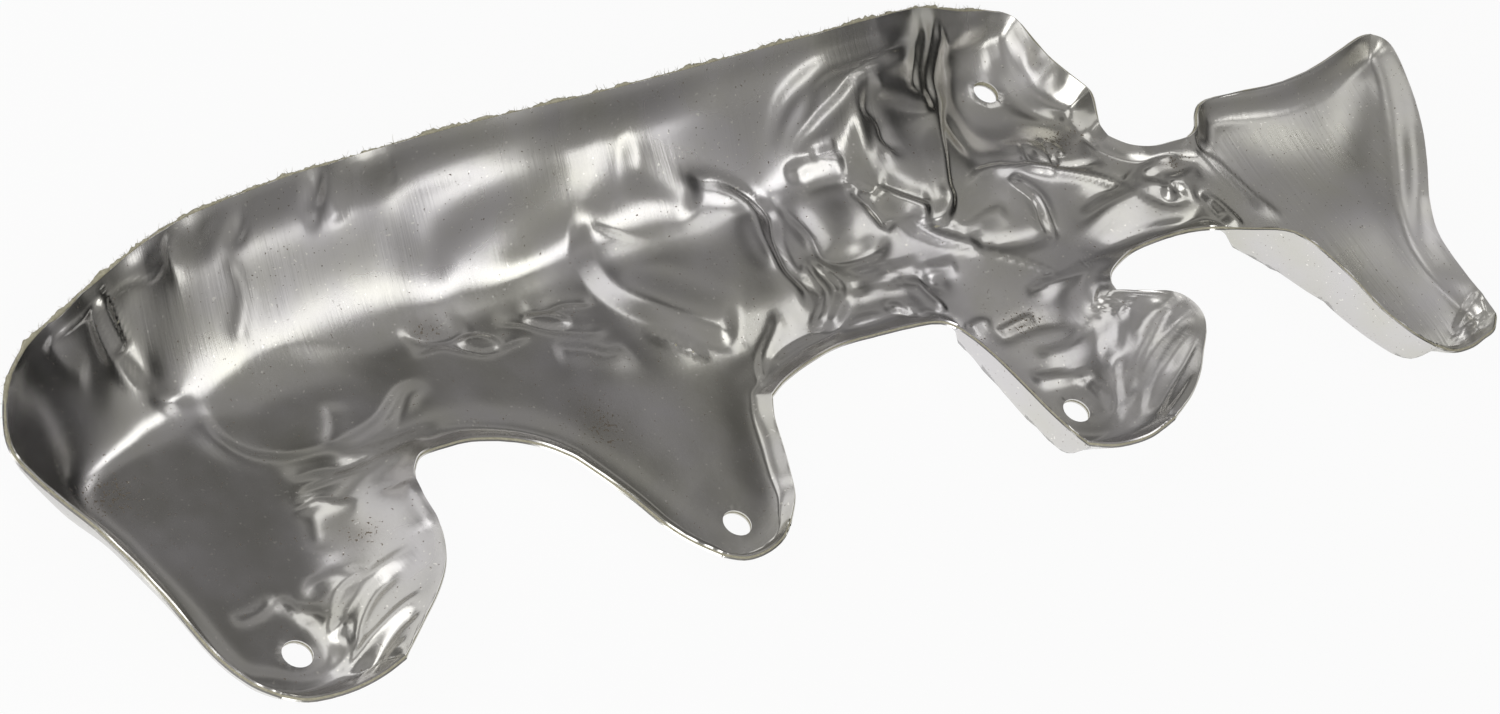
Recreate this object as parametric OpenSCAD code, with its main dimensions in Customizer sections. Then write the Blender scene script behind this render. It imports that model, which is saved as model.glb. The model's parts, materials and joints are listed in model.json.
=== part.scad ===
// Exhaust manifold heat shield: a pressed sandwich of two thin bright sheets with a fibre mat between.
// The origin is the middle of the underside's box, +X runs along the ports and +Z is the bolt direction.
// Places in the lists below are measured from the first port's bolt hole.

/* [Ports] */
// Distance from the first bolt hole to the second
port_2_x = 117; // [110:1:124]
// Distance from the first bolt hole to the third
port_3_x = 222; // [215:1:229]
// Distance from the first bolt hole to the middle of the plain foot
foot_x = 335; // [329:1:345]
// Diameter of the bolt holes
bolt_d = 7; // [5:0.5:8]

/* [Rear tab] */
// Distance from the first bolt hole to the rear tab's bolt hole, along the ports
tab_x = 264.5; // [262.5:0.5:266.5]
// Distance from the row of ports back to the rear tab's bolt hole
tab_y = 98; // [96.5:0.5:99.5]
// Depth of the rear tab's pocket below the port pads
pocket_depth = 4.5; // [1:0.5:6]

/* [Walls] */
// Height of the back and end walls above the port pads
back_wall = 24; // [18:1:30]
// Height of the steep wall beside the plain foot
foot_wall = 17.5; // [13:0.5:21]
// Height of the flared right sides of the first and third lobes
flare = 13; // [8:0.5:16]
// Height of the steep left side of the third lobe
lobe_wall = 8.5; // [6:0.5:11]
// Height of the wing's raised right and rear edges
wing_edge = 10; // [6:0.5:14]
// Height of the low lip along the front
lip = 3; // [1.5:0.5:4]
// Slope of the back wall, in degrees
back_slope = 45; // [38:1:52]
// Slope of the wall round the left end, in degrees
end_slope = 62; // [50:1:70]
// Slope of the flared sides, in degrees
flare_slope = 33; // [28:1:42]
// Slope of the steep walls, in degrees
steep_slope = 82; // [76:1:84]

/* [Sheets] */
// Thickness of each metal sheet
sheet_t = 0.4; // [0.3:0.05:0.6]
// Thickness of the fibre mat at the port pads
mat_t = 0.5; // [0.4:0.05:0.8]
// Thickness of the fibre mat along the open back edge
mat_edge_t = 1.2; // [0.8:0.05:1.6]

/* [Embossed forms] */
// Height of the raised platform in the middle
platform_h = 2; // [0:0.25:3]
// Height of the bulge beside the rear tab
bulge_h = 5; // [0:0.5:7]
// Depth of the round dish over the first lobe
dish_depth = 0.6; // [0:0.2:2]
// How strongly the broad dents and swells show: 0 leaves them out
dent_share = 1; // [0:0.25:1.25]

/* [Hidden] */
sheet_colour = "silver";
mat_colour = "darkkhaki";
hole_facets = 48;

// The net of points: columns run across the ports, rows run from the front to the back.
// Column numbers where each lobe and each scallop starts
posts = [0, 9, 15, 22, 29, 37, 45, 53];
last_col = posts[7];
tab_col = 42;
// Row numbers of the lobes' necks, of the line below the rear tab, and of the back edge
neck_row = 8;
mid_row = 14;
back_row = 21;

// How a wall falls away from its rim: 1 is straight, more is curved
wall_curve = 1.3;
// Closeness of rows and columns at the edges: 0 is even
crowding = 0.55;

// The outline, as [x, y, rim height]. Smooth curves run through the points.
end_side = [
    [-11, -10.5, 1.7 * lip], [-16, -5.5, 1.8 * lip], [-20.5, 3, 2.1 * lip], [-25, 16, 0.38 * back_wall],
    [-30, 25.5, 0.54 * back_wall], [-35, 34, 0.67 * back_wall], [-40, 40, 0.79 * back_wall],
    [-44.5, 47, 0.88 * back_wall], [-46.5, 53.5, 0.92 * back_wall], [-45, 60.5, 0.96 * back_wall],
    [-40.5, 69, back_wall], [-33.5, 76, back_wall], [-25.5, 81, back_wall]];
end_neck_t = 5 / 12;
end_mid_t = 8 / 12;
back_edge = [
    [-25.5, 81, back_wall], [-14.5, 86.5, back_wall], [1, 93.5, back_wall], [14.5, 98.5, back_wall],
    [29, 101.5, back_wall], [48, 104, back_wall], [port_2_x - 25, tab_y + 8.5, back_wall],
    [port_2_x + 23, tab_y + 9, back_wall], [port_3_x - 20, tab_y + 11, back_wall],
    [port_3_x + 3, tab_y + 14, 0.87 * back_wall], [tab_x - 25, tab_y + 16.5, 0.73 * back_wall],
    [tab_x - 14, tab_y + 18.5, 0.54 * back_wall], [tab_x - 3, tab_y + 18, 0.4 * back_wall],
    [tab_x + 7, tab_y + 18, 2.4 * lip], [tab_x + 12, tab_y + 16.8, 2.2 * lip]];
tab_side = [
    [tab_x + 12, tab_y + 16.8, 2.2 * lip], [tab_x + 15.3, tab_y + 13.5, 2.1 * lip],
    [tab_x + 16.2, tab_y + 6, 2 * lip], [tab_x + 17, tab_y, 2 * lip],
    [tab_x + 19, tab_y - 6, 2 * lip], [tab_x + 22, tab_y - 11.5, 1.8 * lip],
    [tab_x + 22, tab_y - 14.5, 1.7 * lip], [tab_x + 20.5, tab_y - 19, 1.4 * lip],
    [tab_x + 19.5, tab_y - 22.5, 1.2 * lip], [tab_x + 20, tab_y - 26, lip]];
bridge_back = [
    [tab_x + 20, tab_y - 26, lip], [tab_x + 23.5, 68.5, lip], [foot_x - 43, 66.5, lip],
    [foot_x - 38, 65.5, lip], [foot_x - 28, 65, 1.3 * lip]];
wing_back = [
    [foot_x - 28, 65, 1.3 * lip], [foot_x - 24.5, 66.5, 1.5 * lip], [foot_x - 21.5, 70.5, 0.5 * wing_edge],
    [foot_x - 18, 73, 0.55 * wing_edge], [foot_x - 11.5, 73.5, 0.6 * wing_edge],
    [foot_x + 6, 71.5, 0.8 * wing_edge], [foot_x + 20, 72.5, 0.9 * wing_edge],
    [foot_x + 31.5, 75, wing_edge], [foot_x + 41, 77.5, wing_edge],
    [foot_x + 45.5, 77.8, wing_edge]];
wing_side = [
    [foot_x + 23, -11.5, 1.5 * lip], [foot_x + 22.5, -5, 0.52 * wing_edge],
    [foot_x + 21.5, 2, 0.6 * wing_edge], [foot_x + 21.5, 11.5, 0.65 * wing_edge],
    [foot_x + 23, 18, 0.7 * wing_edge],
    [foot_x + 26.5, 25.5, 0.8 * wing_edge], [foot_x + 33, 35, 0.9 * wing_edge],
    [foot_x + 39, 44.5, 0.95 * wing_edge], [foot_x + 43.5, 54, wing_edge], [foot_x + 47.5, 64, wing_edge],
    [foot_x + 49.5, 71.5, wing_edge], [foot_x + 48.5, 75.5, wing_edge], [foot_x + 45.5, 77.8, wing_edge]];
wing_neck_t = 5 / 12;
lobe_1_front = [[-11, -10.5, 1.7 * lip], [-5.5, -13.5, 1.8 * lip], [3.5, -14.5, 2 * lip],
    [11.5, -14, 0.58 * flare], [17.5, -12.5, 0.7 * flare]];
lobe_1_right = [[17.5, -12.5, 0.7 * flare], [25, -6.5, 0.85 * flare], [31, -1.5, 0.95 * flare],
    [35.5, 3.5, flare], [38.5, 9, flare], [40.5, 15, 0.96 * flare], [42, 23, 0.8 * flare],
    [44.5, 29.5, 0.6 * flare]];
lobe_2_left = [[-9, -8.5, 0.5 * lip], [-14, -3, 0.5 * lip], [-18, 3, 0.6 * lip], [-21.5, 11, 0.7 * lip],
    [-25.5, 18.5, 0.8 * lip], [-30, 25.5, lip]];
lobe_2_front = [[-9, -8.5, 0.5 * lip], [-4, -11, 0.5 * lip], [2, -11, 0.5 * lip], [8, -9, 0.5 * lip],
    [12.5, -5.5, 0.6 * lip]];
lobe_2_right = [[12.5, -5.5, 0.6 * lip], [17, 0, 0.8 * lip], [19.5, 6.5, lip], [22, 13.5, lip],
    [24.5, 21, lip], [27.5, 26.5, lip]];
lobe_3_left = [[-8.5, -12.5, 0.8 * lobe_wall], [-12, -8.5, lobe_wall], [-14, -1.5, lobe_wall],
    [-15.5, 5.5, lobe_wall], [-17, 15.8, 0.9 * lobe_wall], [-17.3, 23.5, 0.65 * lobe_wall],
    [-19, 29, 0.55 * lobe_wall]];
lobe_3_front = [[-8.5, -12.5, 0.8 * lobe_wall], [-2, -15.7, 0.6 * flare], [7, -16.7, 0.7 * flare],
    [15.5, -15, 0.85 * flare]];
lobe_3_right = [[15.5, -15, 0.85 * flare], [23.5, -11, 0.92 * flare], [30, -6, 0.96 * flare],
    [35, -0.5, flare], [40.5, 5.5, flare], [42, 11, flare], [40, 17, 0.92 * flare],
    [35, 21, 0.77 * flare], [28.7, 25.3, 0.52 * flare]];
foot_left = [[-5, -16, 0.4 * foot_wall], [-10.5, -14, 0.56 * foot_wall], [-14, -10.6, 0.63 * foot_wall],
    [-18, -4, 0.7 * foot_wall], [-21, 2.6, 0.8 * foot_wall], [-23.7, 8.8, 0.87 * foot_wall],
    [-27.7, 14.5, 0.98 * foot_wall], [-31.5, 20.7, foot_wall], [-33.5, 25, 0.85 * foot_wall],
    [-35.7, 29.6, 0.59 * foot_wall], [-38, 34.7, 0.31 * foot_wall]];
foot_front = [[-5, -16, 0.4 * foot_wall], [3.5, -17, lip], [10.5, -17, 0.8 * lip],
    [15.5, -16, lip], [19.5, -15, 1.3 * lip], [23, -11.5, 1.5 * lip]];

// The scallops between the lobes, as [share of the way across, y, rim height]
scallop_1 = [[0.05, 32.5, 0.5 * flare], [0.15, 36, 1.7 * lip], [0.32, 37.2, 1.3 * lip],
    [0.5, 37, 1.2 * lip], [0.72, 34.5, lip], [0.88, 30.5, lip]];
scallop_2 = [[0.1, 29.5, lip], [0.26, 32.5, lip], [0.45, 34.5, lip], [0.65, 34.5, lip],
    [0.83, 33.5, 1.3 * lip], [0.94, 32, 1.5 * lip]];
scallop_3 = [[0.04, 29.5, 1.9 * lip], [0.15, 33.5, 1.3 * lip], [0.34, 37, 1.2 * lip],
    [0.54, 38.2, 1.2 * lip], [0.76, 39, 0.8 * lip], [0.93, 37.8, 0.9 * lip]];

function mix(a, b, t) = a * (1 - t) + b * t;
function ramp(v, a, b) = let (s = min(max((v - a) / (b - a), 0), 1)) s * s * (3 - 2 * s);
function ease(t) = t - crowding * sin(360 * t) / (2 * PI);
function moved(list, x) = [for (p = list) [p.x + x, p.y, p.z]];

// A smooth curve through a list of points, with t from 0 to 1
function smooth(a, b, c, d, f) =
    0.5 * (2 * b + (c - a) * f + (2 * a - 5 * b + 4 * c - d) * pow(f, 2)
           + (3 * b - a - 3 * c + d) * pow(f, 3));
function curve(list, t) =
    let (n = len(list) - 1, k = min(floor(t * n), n - 1), f = t * n - k)
    smooth(list[max(k - 1, 0)], list[k], list[k + 1], list[min(k + 2, n)], f);
// The same, found by its x
function curve_at_x(list, x) =
    let (n = len(list) - 1, k = max([for (q = [0 : n - 1]) if (q == 0 || list[q].x <= x) q]),
         f = (x - list[k].x) / (list[k + 1].x - list[k].x),
         p = smooth(list[max(k - 1, 0)], list[k], list[k + 1], list[min(k + 2, n)], f))
    [x, p.y, p.z];

// The lobes in their places, as [left side, front, right side]
lobes = [
    [[for (q = [0 : 5]) end_side[q]], lobe_1_front, lobe_1_right],
    [moved(lobe_2_left, port_2_x), moved(lobe_2_front, port_2_x), moved(lobe_2_right, port_2_x)],
    [moved(lobe_3_left, port_3_x), moved(lobe_3_front, port_3_x), moved(lobe_3_right, port_3_x)],
    [moved(foot_left, foot_x), moved(foot_front, foot_x), [for (q = [0 : 5]) wing_side[q]]]];
function left_top(k) = let (s = lobes[k][0]) s[len(s) - 1];
function right_top(k) = let (s = lobes[k][2]) s[len(s) - 1];
// The last lobe's right side and the first lobe's left side are listed from the front upwards
function right_up(k) = k == 3 ? lobes[3][2] : lobes[k][2];
function scallop(k) =
    let (a = right_top(k), b = left_top(k + 1), shape = [scallop_1, scallop_2, scallop_3][k])
    concat([a], [for (p = shape) [mix(a.x, b.x, p.x), p.y, p.z]], [b]);
scallops = [for (k = [0 : 2]) scallop(k)];

// The section that a column belongs to: even ones are lobes, odd ones are scallops
function section(i) = max([for (q = [0 : 6]) if (q == 0 || posts[q] <= i) q]);
function part_way(i, s) = (i - posts[s]) / (posts[s + 1] - posts[s]);

// The front line of the lower band, with the necks of the lobes as straight lines
function band_front(i) =
    let (s = i == last_col ? 6 : section(i), u = part_way(i, s), k = floor(s / 2))
    s % 2 == 1 ? curve(scallops[k], u)
               : mix(left_top(k), right_top(k), ease(u));
// The line between the two bands, which ends at the notch below the rear tab, then the wing's back edge
notch = tab_side[len(tab_side) - 1];
mid_line = [
    curve(end_side, end_mid_t), [-22, 59, 0], [20, 64, 0], [port_2_x, 66, 0], [port_3_x, 69, 0], notch];
mid_x = [[0, mid_line[0].x], [posts[1], 42], [posts[2], port_2_x - 29], [posts[3], port_2_x + 28],
    [posts[4], port_3_x - 20], [posts[5], port_3_x + 29], [tab_col, notch.x]];
function band_middle(i) =
    i <= tab_col ? curve_at_x(mid_line, lookup(i, mid_x))
    : i <= posts[6] ? curve(bridge_back, (i - tab_col) / (posts[6] - tab_col))
    : curve(wing_back, ease(part_way(i, 6)));
back_x = [[0, back_edge[0].x], [posts[1], 46], [posts[2], port_2_x - 27], [posts[3], port_2_x + 29],
    [posts[4], port_3_x - 20], [posts[5], tab_x - 15], [tab_col, tab_x + 12]];
function band_back(i) = curve_at_x(back_edge, lookup(i, back_x));

// A four-sided patch: its four edges at a place, its corners, and how fast the sides' shape fades inwards
function patch(front, back, left, right, front_l, front_r, back_l, back_r, u, v, fade) =
    mix(front, back, v) + pow(1 - u, fade) * (left - mix(front_l, back_l, v))
    + pow(u, fade) * (right - mix(front_r, back_r, v));
band_fade = 6;
lobe_row_power = 1.6;

function lobe_point(i, j, k) =
    let (s = 2 * k, u = ease(part_way(i, s)), v = pow(j / neck_row, lobe_row_power),
         l = lobes[k][0], f = lobes[k][1], r = right_up(k))
    patch(curve(f, u), mix(left_top(k), right_top(k), u), curve(l, v), curve(r, v),
          l[0], r[0], left_top(k), right_top(k), u, v, 1);
function lower_point(i, j) =
    let (u = i / last_col, v = ease((j - neck_row) / (mid_row - neck_row)))
    patch(band_front(i), band_middle(i), curve(end_side, mix(end_neck_t, end_mid_t, v)),
          curve(wing_side, mix(wing_neck_t, 1, v)), band_front(0), band_front(last_col),
          band_middle(0), band_middle(last_col), u, v, band_fade);
function upper_point(i, j) =
    let (u = i / tab_col, v = (j - mid_row) / (back_row - mid_row))
    patch(band_middle(i), band_back(i), curve(end_side, mix(end_mid_t, 1, v)), curve(tab_side, 1 - v),
          band_middle(0), band_middle(tab_col), band_back(0), band_back(tab_col), u, v, band_fade);

// Which cells of the net are sheet, and which points belong to one
function is_cell(i, j) =
    i >= 0 && i < last_col && j >= 0 && j < back_row
    && (j < neck_row ? section(i) % 2 == 0 : j < mid_row ? true : i < tab_col);
function is_point(i, j) = is_cell(i, j) || is_cell(i - 1, j) || is_cell(i, j - 1) || is_cell(i - 1, j - 1);
function is_edge(i, j) =
    is_point(i, j) && !(is_cell(i, j) && is_cell(i - 1, j) && is_cell(i, j - 1) && is_cell(i - 1, j - 1));
function lobe_of(i) = i == last_col ? 3 : let (s = section(i)) s % 2 == 0 ? s / 2 : (s - 1) / 2;
function plan_point(i, j) =
    j < neck_row ? lobe_point(i, j, lobe_of(i)) : j <= mid_row ? lower_point(i, j) : upper_point(i, j);

plan = [for (i = [0 : last_col]) [for (j = [0 : back_row]) is_point(i, j) ? plan_point(i, j) : undef]];

// Slopes of the low walls: round the lobes' fronts, along the wing, and everywhere else
front_slope = 55;
wing_slope = 42;
lip_slope = 40;
// Slope of the wall below each stretch of the edge, and from it the wall's width in plan
function edge_slope(i, j) =
    j == back_row || (i == 0 && j > mid_row) ? back_slope
    : i == 0 ? end_slope
    : i == posts[1] && j < neck_row ? flare_slope
    : (i == posts[4] || i == posts[6]) && j <= neck_row ? steep_slope
    : i == posts[5] && j < neck_row ? flare_slope
    : j == 0 ? front_slope
    : i == last_col || (j == mid_row && i > posts[6]) ? wing_slope
    : lip_slope;
rims = [for (i = [0 : last_col]) for (j = [0 : back_row]) if (is_edge(i, j))
    let (p = plan[i][j]) [p.x, p.y, p.z, wall_curve * p.z / tan(edge_slope(i, j))]];

// The floor of the pressing, with its embossed forms. Each slope is given by where it starts and ends.
platform_left = [port_2_x + 4, port_2_x + 11];
platform_right = [port_2_x + 62, port_2_x + 54];
platform_front = [42, 50];
pocket_left = [tab_x - 21, tab_x - 13];
pocket_front = [tab_y - 24, tab_y - 13];
// Round forms, as [x, y, half length, half width]
dish = [35, 57, 24, 17];
dish_rim = [1.1, 0.75];
bulge = [port_3_x - 5, 80, 21, 19];
bulge_end = [tab_x - 15, tab_x - 24];
function over(v, range) = ramp(v, range[0], range[1]);
function reach(x, y, form) = norm([(x - form[0]) / form[2], (y - form[1]) / form[3]]);
function floor_height(x, y) =
    -pocket_depth * over(x, pocket_left) * over(y, pocket_front)
    + platform_h * over(x, platform_left) * over(x, platform_right) * over(y, platform_front)
    + bulge_h * exp(-pow(reach(x, y, bulge), 2)) * over(x, bulge_end)
    - dish_depth * over(reach(x, y, dish), dish_rim);

// Broad dents and swells, as [x, y, half length, half width, turn in degrees, height]
dents = [
    [port_2_x + 9, 86, 42, 9, 5, -3],           // the long trough along the back wall's foot
    [port_2_x - 13, 95, 30, 8, 3, 2],           // the long swell above it
    [-8, 77, 13, 4, 60, -1.4],                  // the pleat at the left corner
    [-1, 72, 5, 6, 0, 1.2],                     // the knob at the pleat's foot
    [port_3_x - 29, 69.5, 10, 11, 0, 1.5],      // the round swell right of the platform
    [port_3_x - 25, 96, 11, 4, 45, 1.4],        // the ridge that climbs the back wall
    [port_3_x - 9, 86, 4.5, 10, -12, 1.6],      // the hook
    [port_3_x + 6, 90, 8, 6, 0, -1.4],          // the hollow beside the hook
    [tab_x - 21.5, 85, 4, 10, 0, -1.2],         // the hollow beside the rear tab
    [port_3_x - 8, 69.5, 8, 4, -40, 1.2],       // the bar below the hook
    [tab_x - 26.5, 58, 10, 7, 0, -0.8],         // the hollow below the rear tab
    [tab_x - 8.5, 71.5, 16, 4, -8, 0.8],        // the ridge below the rear tab
    [foot_x - 55, 49, 16, 7, 0, 1],             // the swell on the bridge
    [foot_x - 40, 58, 7, 5, 0, 0.8],            // the crumpled spot on the bridge
    [14, 4, 8, 6, 45, 1.2],                     // where the first lobe's creases fan out
    [29, 26, 9, 7, 30, 0.8],                    // the first lobe's neck
    [port_3_x + 24, 14, 11, 6, 45, 1.2]];       // where the third lobe's creases fan out
// Distance from the rim over which they die away
dent_fade = 8;
function swell(x, y, e) =
    e[5] * exp(-pow(norm([((x - e[0]) * cos(e[4]) + (y - e[1]) * sin(e[4])) / e[2],
                          ((y - e[1]) * cos(e[4]) - (x - e[0]) * sin(e[4])) / e[3]]), 2));
function dented(x, y, d) =
    let (all = [for (e = dents) swell(x, y, e)], unit = [for (q = all) 1])
    dent_share * (all * unit) * ramp(d, 0, dent_fade);

// Height at a place: the floor, raised towards the nearest stretch of rim. The rims' heights and the
// walls' widths are blended by distance, and the small core keeps the weight finite on the rim.
blend_core = 0.1;
function height(x, y) =
    let (d = [for (e = rims) norm([e.x - x, e.y - y])],
         w = [for (q = d) 1 / pow(q * q + blend_core, 2)],
         unit = [for (q = w) 1],
         total = w * unit,
         rim = w * [for (e = rims) e[2]] / total,
         run = w * [for (e = rims) e[3]] / total,
         base = floor_height(x, y))
    base + (rim - base) * pow(max(1 - min(d) / run, 0), wall_curve) + dented(x, y, min(d));

mid_net = [for (i = [0 : last_col]) [for (j = [0 : back_row])
    let (p = plan[i][j]) p == undef ? undef : [p.x, p.y, height(p.x, p.y)]]];

// Directions across the sheet: each point takes those of the cells round it, weighed by their areas.
// A corner point has one narrow cell, so it takes those of the next point inwards.
function cell_normal(i, j) =
    is_cell(i, j) ? cross(mid_net[i + 1][j + 1] - mid_net[i][j], mid_net[i][j + 1] - mid_net[i + 1][j])
                  : [0, 0, 0];
function sum_normal(i, j) =
    cell_normal(i, j) + cell_normal(i - 1, j) + cell_normal(i, j - 1) + cell_normal(i - 1, j - 1);
function cells_at(i, j) =
    [for (q = [[i, j], [i - 1, j], [i, j - 1], [i - 1, j - 1]]) if (is_cell(q[0], q[1])) q];
function is_corner(i, j) = len(cells_at(i, j)) == 1;
function normal(i, j) =
    let (own = cells_at(i, j)[0],
         c = is_corner(i, j) ? sum_normal(own[0] < i ? i - 1 : i + 1, own[1] < j ? j - 1 : j + 1)
                             : sum_normal(i, j))
    c / norm(c);
normals = [for (i = [0 : last_col]) [for (j = [0 : back_row]) is_point(i, j) ? normal(i, j) : undef]];

// The mat is thicker towards the open back edge
function mat_at(p) = mix(mat_t, mat_edge_t, ramp(p.y, 60, tab_y + 13));
function layer(i, j, side) =
    let (p = mid_net[i][j], half = mat_at(p) / 2,
         off = side == 0 ? -half - sheet_t : side == 1 ? -half : side == 2 ? half : half + sheet_t)
    p + off * normals[i][j];

// The lowest points and the middle of the whole sandwich
outer = [for (i = [0 : last_col]) for (j = [0 : back_row]) if (is_point(i, j))
    for (s = [0, 3]) layer(i, j, s)];
low = [for (a = [0 : 2]) min([for (p = outer) p[a]])];
high = [for (a = [0 : 2]) max([for (p = outer) p[a]])];
to_frame = [-(low.x + high.x) / 2, -(low.y + high.y) / 2, -low.z];

// One sheet between two layers of the net
cells = [for (i = [0 : last_col - 1]) for (j = [0 : back_row - 1]) if (is_cell(i, j)) [i, j]];
rows = back_row + 1;
columns = last_col + 1;
function index(i, j, top) = (top ? columns * rows : 0) + i * rows + j;
function quad(a, b, c, d) = [[a, b, c], [a, c, d]];
function wall(i0, j0, i1, j1) =
    quad(index(i1, j1, false), index(i1, j1, true), index(i0, j0, true), index(i0, j0, false));
// A cell's corners in turn. They start where the dividing line meets a corner of the sheet, if there
// is one.
function ring(i, j, top) =
    let (r = [index(i, j, top), index(i, j + 1, top), index(i + 1, j + 1, top), index(i + 1, j, top)])
    is_corner(i + 1, j) || is_corner(i, j + 1) ? [r[1], r[2], r[3], r[0]] : r;
sheet_faces = [for (c = cells)
    let (i = c[0], j = c[1], t = ring(i, j, true), b = ring(i, j, false)) each concat(
    quad(t[0], t[1], t[2], t[3]),
    quad(b[0], b[3], b[2], b[1]),
    is_cell(i - 1, j) ? [] : wall(i, j, i, j + 1),
    is_cell(i + 1, j) ? [] : wall(i + 1, j + 1, i + 1, j),
    is_cell(i, j - 1) ? [] : wall(i + 1, j, i, j),
    is_cell(i, j + 1) ? [] : wall(i, j + 1, i + 1, j + 1))];
module sheet(lower, upper) {
    points = [for (side = [lower, upper]) for (i = [0 : last_col]) for (j = [0 : back_row])
        is_point(i, j) ? layer(i, j, side) : [0, 0, 0]];
    polyhedron(points, sheet_faces, convexity = 8);
}

// Bolt holes through the port pads and the rear tab, with a flat facet on each axis
bolts = [[0, 0], [port_2_x, -1.5], [port_3_x, 0], [tab_x, tab_y]];
hole_reach = 12;
module bolt_holes() {
    for (b = bolts) translate([b.x, b.y, -hole_reach]) rotate(180 / hole_facets)
        cylinder(d = bolt_d, h = 2 * hole_reach, $fn = hole_facets);
}
module drilled_sheet(lower, upper) {
    translate(to_frame) difference() {
        sheet(lower, upper);
        bolt_holes();
    }
}

// The bright sheet on the concave side, towards the manifold
module inner_skin() { color(sheet_colour) drilled_sheet(2, 3); }
// The fibre mat that shows along the cut edges
module fibre_mat() { color(mat_colour) drilled_sheet(1, 2); }
// The bright sheet on the outside
module outer_skin() { color(sheet_colour) drilled_sheet(0, 1); }

inner_skin();
fibre_mat();
outer_skin();
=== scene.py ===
"""Exhaust manifold heat shield: a pressed sandwich of two bright sheets round a fibre mat.

Lengths are in millimetres, measured from the first bolt hole, until a mesh is made.
"""

import json
import math

import bmesh
import bpy
import numpy as np
from mathutils import Matrix, Vector
from mathutils.kdtree import KDTree


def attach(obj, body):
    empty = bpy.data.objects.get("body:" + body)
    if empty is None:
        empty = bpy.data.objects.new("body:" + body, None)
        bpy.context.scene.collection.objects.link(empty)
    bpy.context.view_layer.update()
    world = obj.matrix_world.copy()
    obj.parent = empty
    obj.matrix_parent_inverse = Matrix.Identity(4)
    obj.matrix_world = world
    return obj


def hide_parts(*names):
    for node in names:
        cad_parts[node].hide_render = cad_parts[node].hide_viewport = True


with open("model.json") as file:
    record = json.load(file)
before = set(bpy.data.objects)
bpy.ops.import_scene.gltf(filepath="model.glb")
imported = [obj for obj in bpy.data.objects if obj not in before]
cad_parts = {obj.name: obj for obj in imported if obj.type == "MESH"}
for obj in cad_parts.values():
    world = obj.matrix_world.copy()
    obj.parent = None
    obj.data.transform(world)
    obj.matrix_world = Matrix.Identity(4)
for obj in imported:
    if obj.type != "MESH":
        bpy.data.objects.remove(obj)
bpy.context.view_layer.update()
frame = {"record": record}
rng = np.random.default_rng(7)

# Sizes
hole_1 = np.array(frame["record"]["mounts"][0]["pos_m"]) * 1000
bolts = [np.array(m["pos_m"]) * 1000 - hole_1 for m in frame["record"]["mounts"]]
bolt_r = frame["record"]["mounts"][0]["dims"]["r_mm"]
port_2_x, port_3_x, foot_x, tab_x, tab_y = 117, 222, 335, 264.5, 98
pocket_depth, back_wall, foot_wall, flare, lobe_wall, wing_edge, lip = 4.5, 24, 17.5, 13, 8.5, 10, 3
sheet_t, mat_t, mat_edge_t = 0.4, 0.5, 1.2
platform_h, bulge_h, dish_depth, dent_fade = 2, 5, 0.6, 8

posts = [0, 9, 15, 22, 29, 37, 45, 53]
last_col, tab_col, neck_row, mid_row, back_row = 53, 42, 8, 14, 21
wall_curve, crowding, band_fade, lobe_row_power = 1.3, 0.55, 6, 1.6


def moved(points, x):
    return [(p[0] + x, p[1], p[2]) for p in points]


# Outline, as x, y and rim height; a rim's height is a share of one of these
W, F, L, G, K, S = back_wall, flare, lip, wing_edge, foot_wall, lobe_wall
end_side = [
    (-11, -10.5, 1.7 * L), (-16, -5.5, 1.8 * L), (-20.5, 3, 2.1 * L), (-25, 16, 0.38 * W),
    (-30, 25.5, 0.54 * W), (-35, 34, 0.67 * W), (-40, 40, 0.79 * W), (-44.5, 47, 0.88 * W),
    (-46.5, 53.5, 0.92 * W), (-45, 60.5, 0.96 * W), (-40.5, 69, W), (-33.5, 76, W), (-25.5, 81, W)]
back_edge = [
    (-25.5, 81, W), (-14.5, 86.5, W), (1, 93.5, W), (14.5, 98.5, W), (29, 101.5, W), (48, 104, W),
    (port_2_x - 25, tab_y + 8.5, W), (port_2_x + 23, tab_y + 9, W), (port_3_x - 20, tab_y + 11, W),
    (port_3_x + 3, tab_y + 14, 0.87 * W), (tab_x - 25, tab_y + 16.5, 0.73 * W),
    (tab_x - 14, tab_y + 18.5, 0.54 * W), (tab_x - 3, tab_y + 18, 0.4 * W),
    (tab_x + 7, tab_y + 18, 2.4 * L), (tab_x + 12, tab_y + 16.8, 2.2 * L)]
tab_side = [
    (tab_x + 12, tab_y + 16.8, 2.2 * L), (tab_x + 15.3, tab_y + 13.5, 2.1 * L),
    (tab_x + 16.2, tab_y + 6, 2 * L), (tab_x + 17, tab_y, 2 * L), (tab_x + 19, tab_y - 6, 2 * L),
    (tab_x + 22, tab_y - 11.5, 1.8 * L), (tab_x + 22, tab_y - 14.5, 1.7 * L),
    (tab_x + 20.5, tab_y - 19, 1.4 * L), (tab_x + 19.5, tab_y - 22.5, 1.2 * L), (tab_x + 20, tab_y - 26, L)]
bridge_back = [
    (tab_x + 20, tab_y - 26, L), (tab_x + 23.5, 68.5, L), (foot_x - 43, 66.5, L), (foot_x - 38, 65.5, L),
    (foot_x - 28, 65, 1.3 * L)]
wing_back = moved([
    (-28, 65, 1.3 * L), (-24.5, 66.5, 1.5 * L), (-21.5, 70.5, 0.5 * G), (-18, 73, 0.55 * G),
    (-11.5, 73.5, 0.6 * G), (6, 71.5, 0.8 * G), (20, 72.5, 0.9 * G), (31.5, 75, G), (41, 77.5, G),
    (45.5, 77.8, G)], foot_x)
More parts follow.
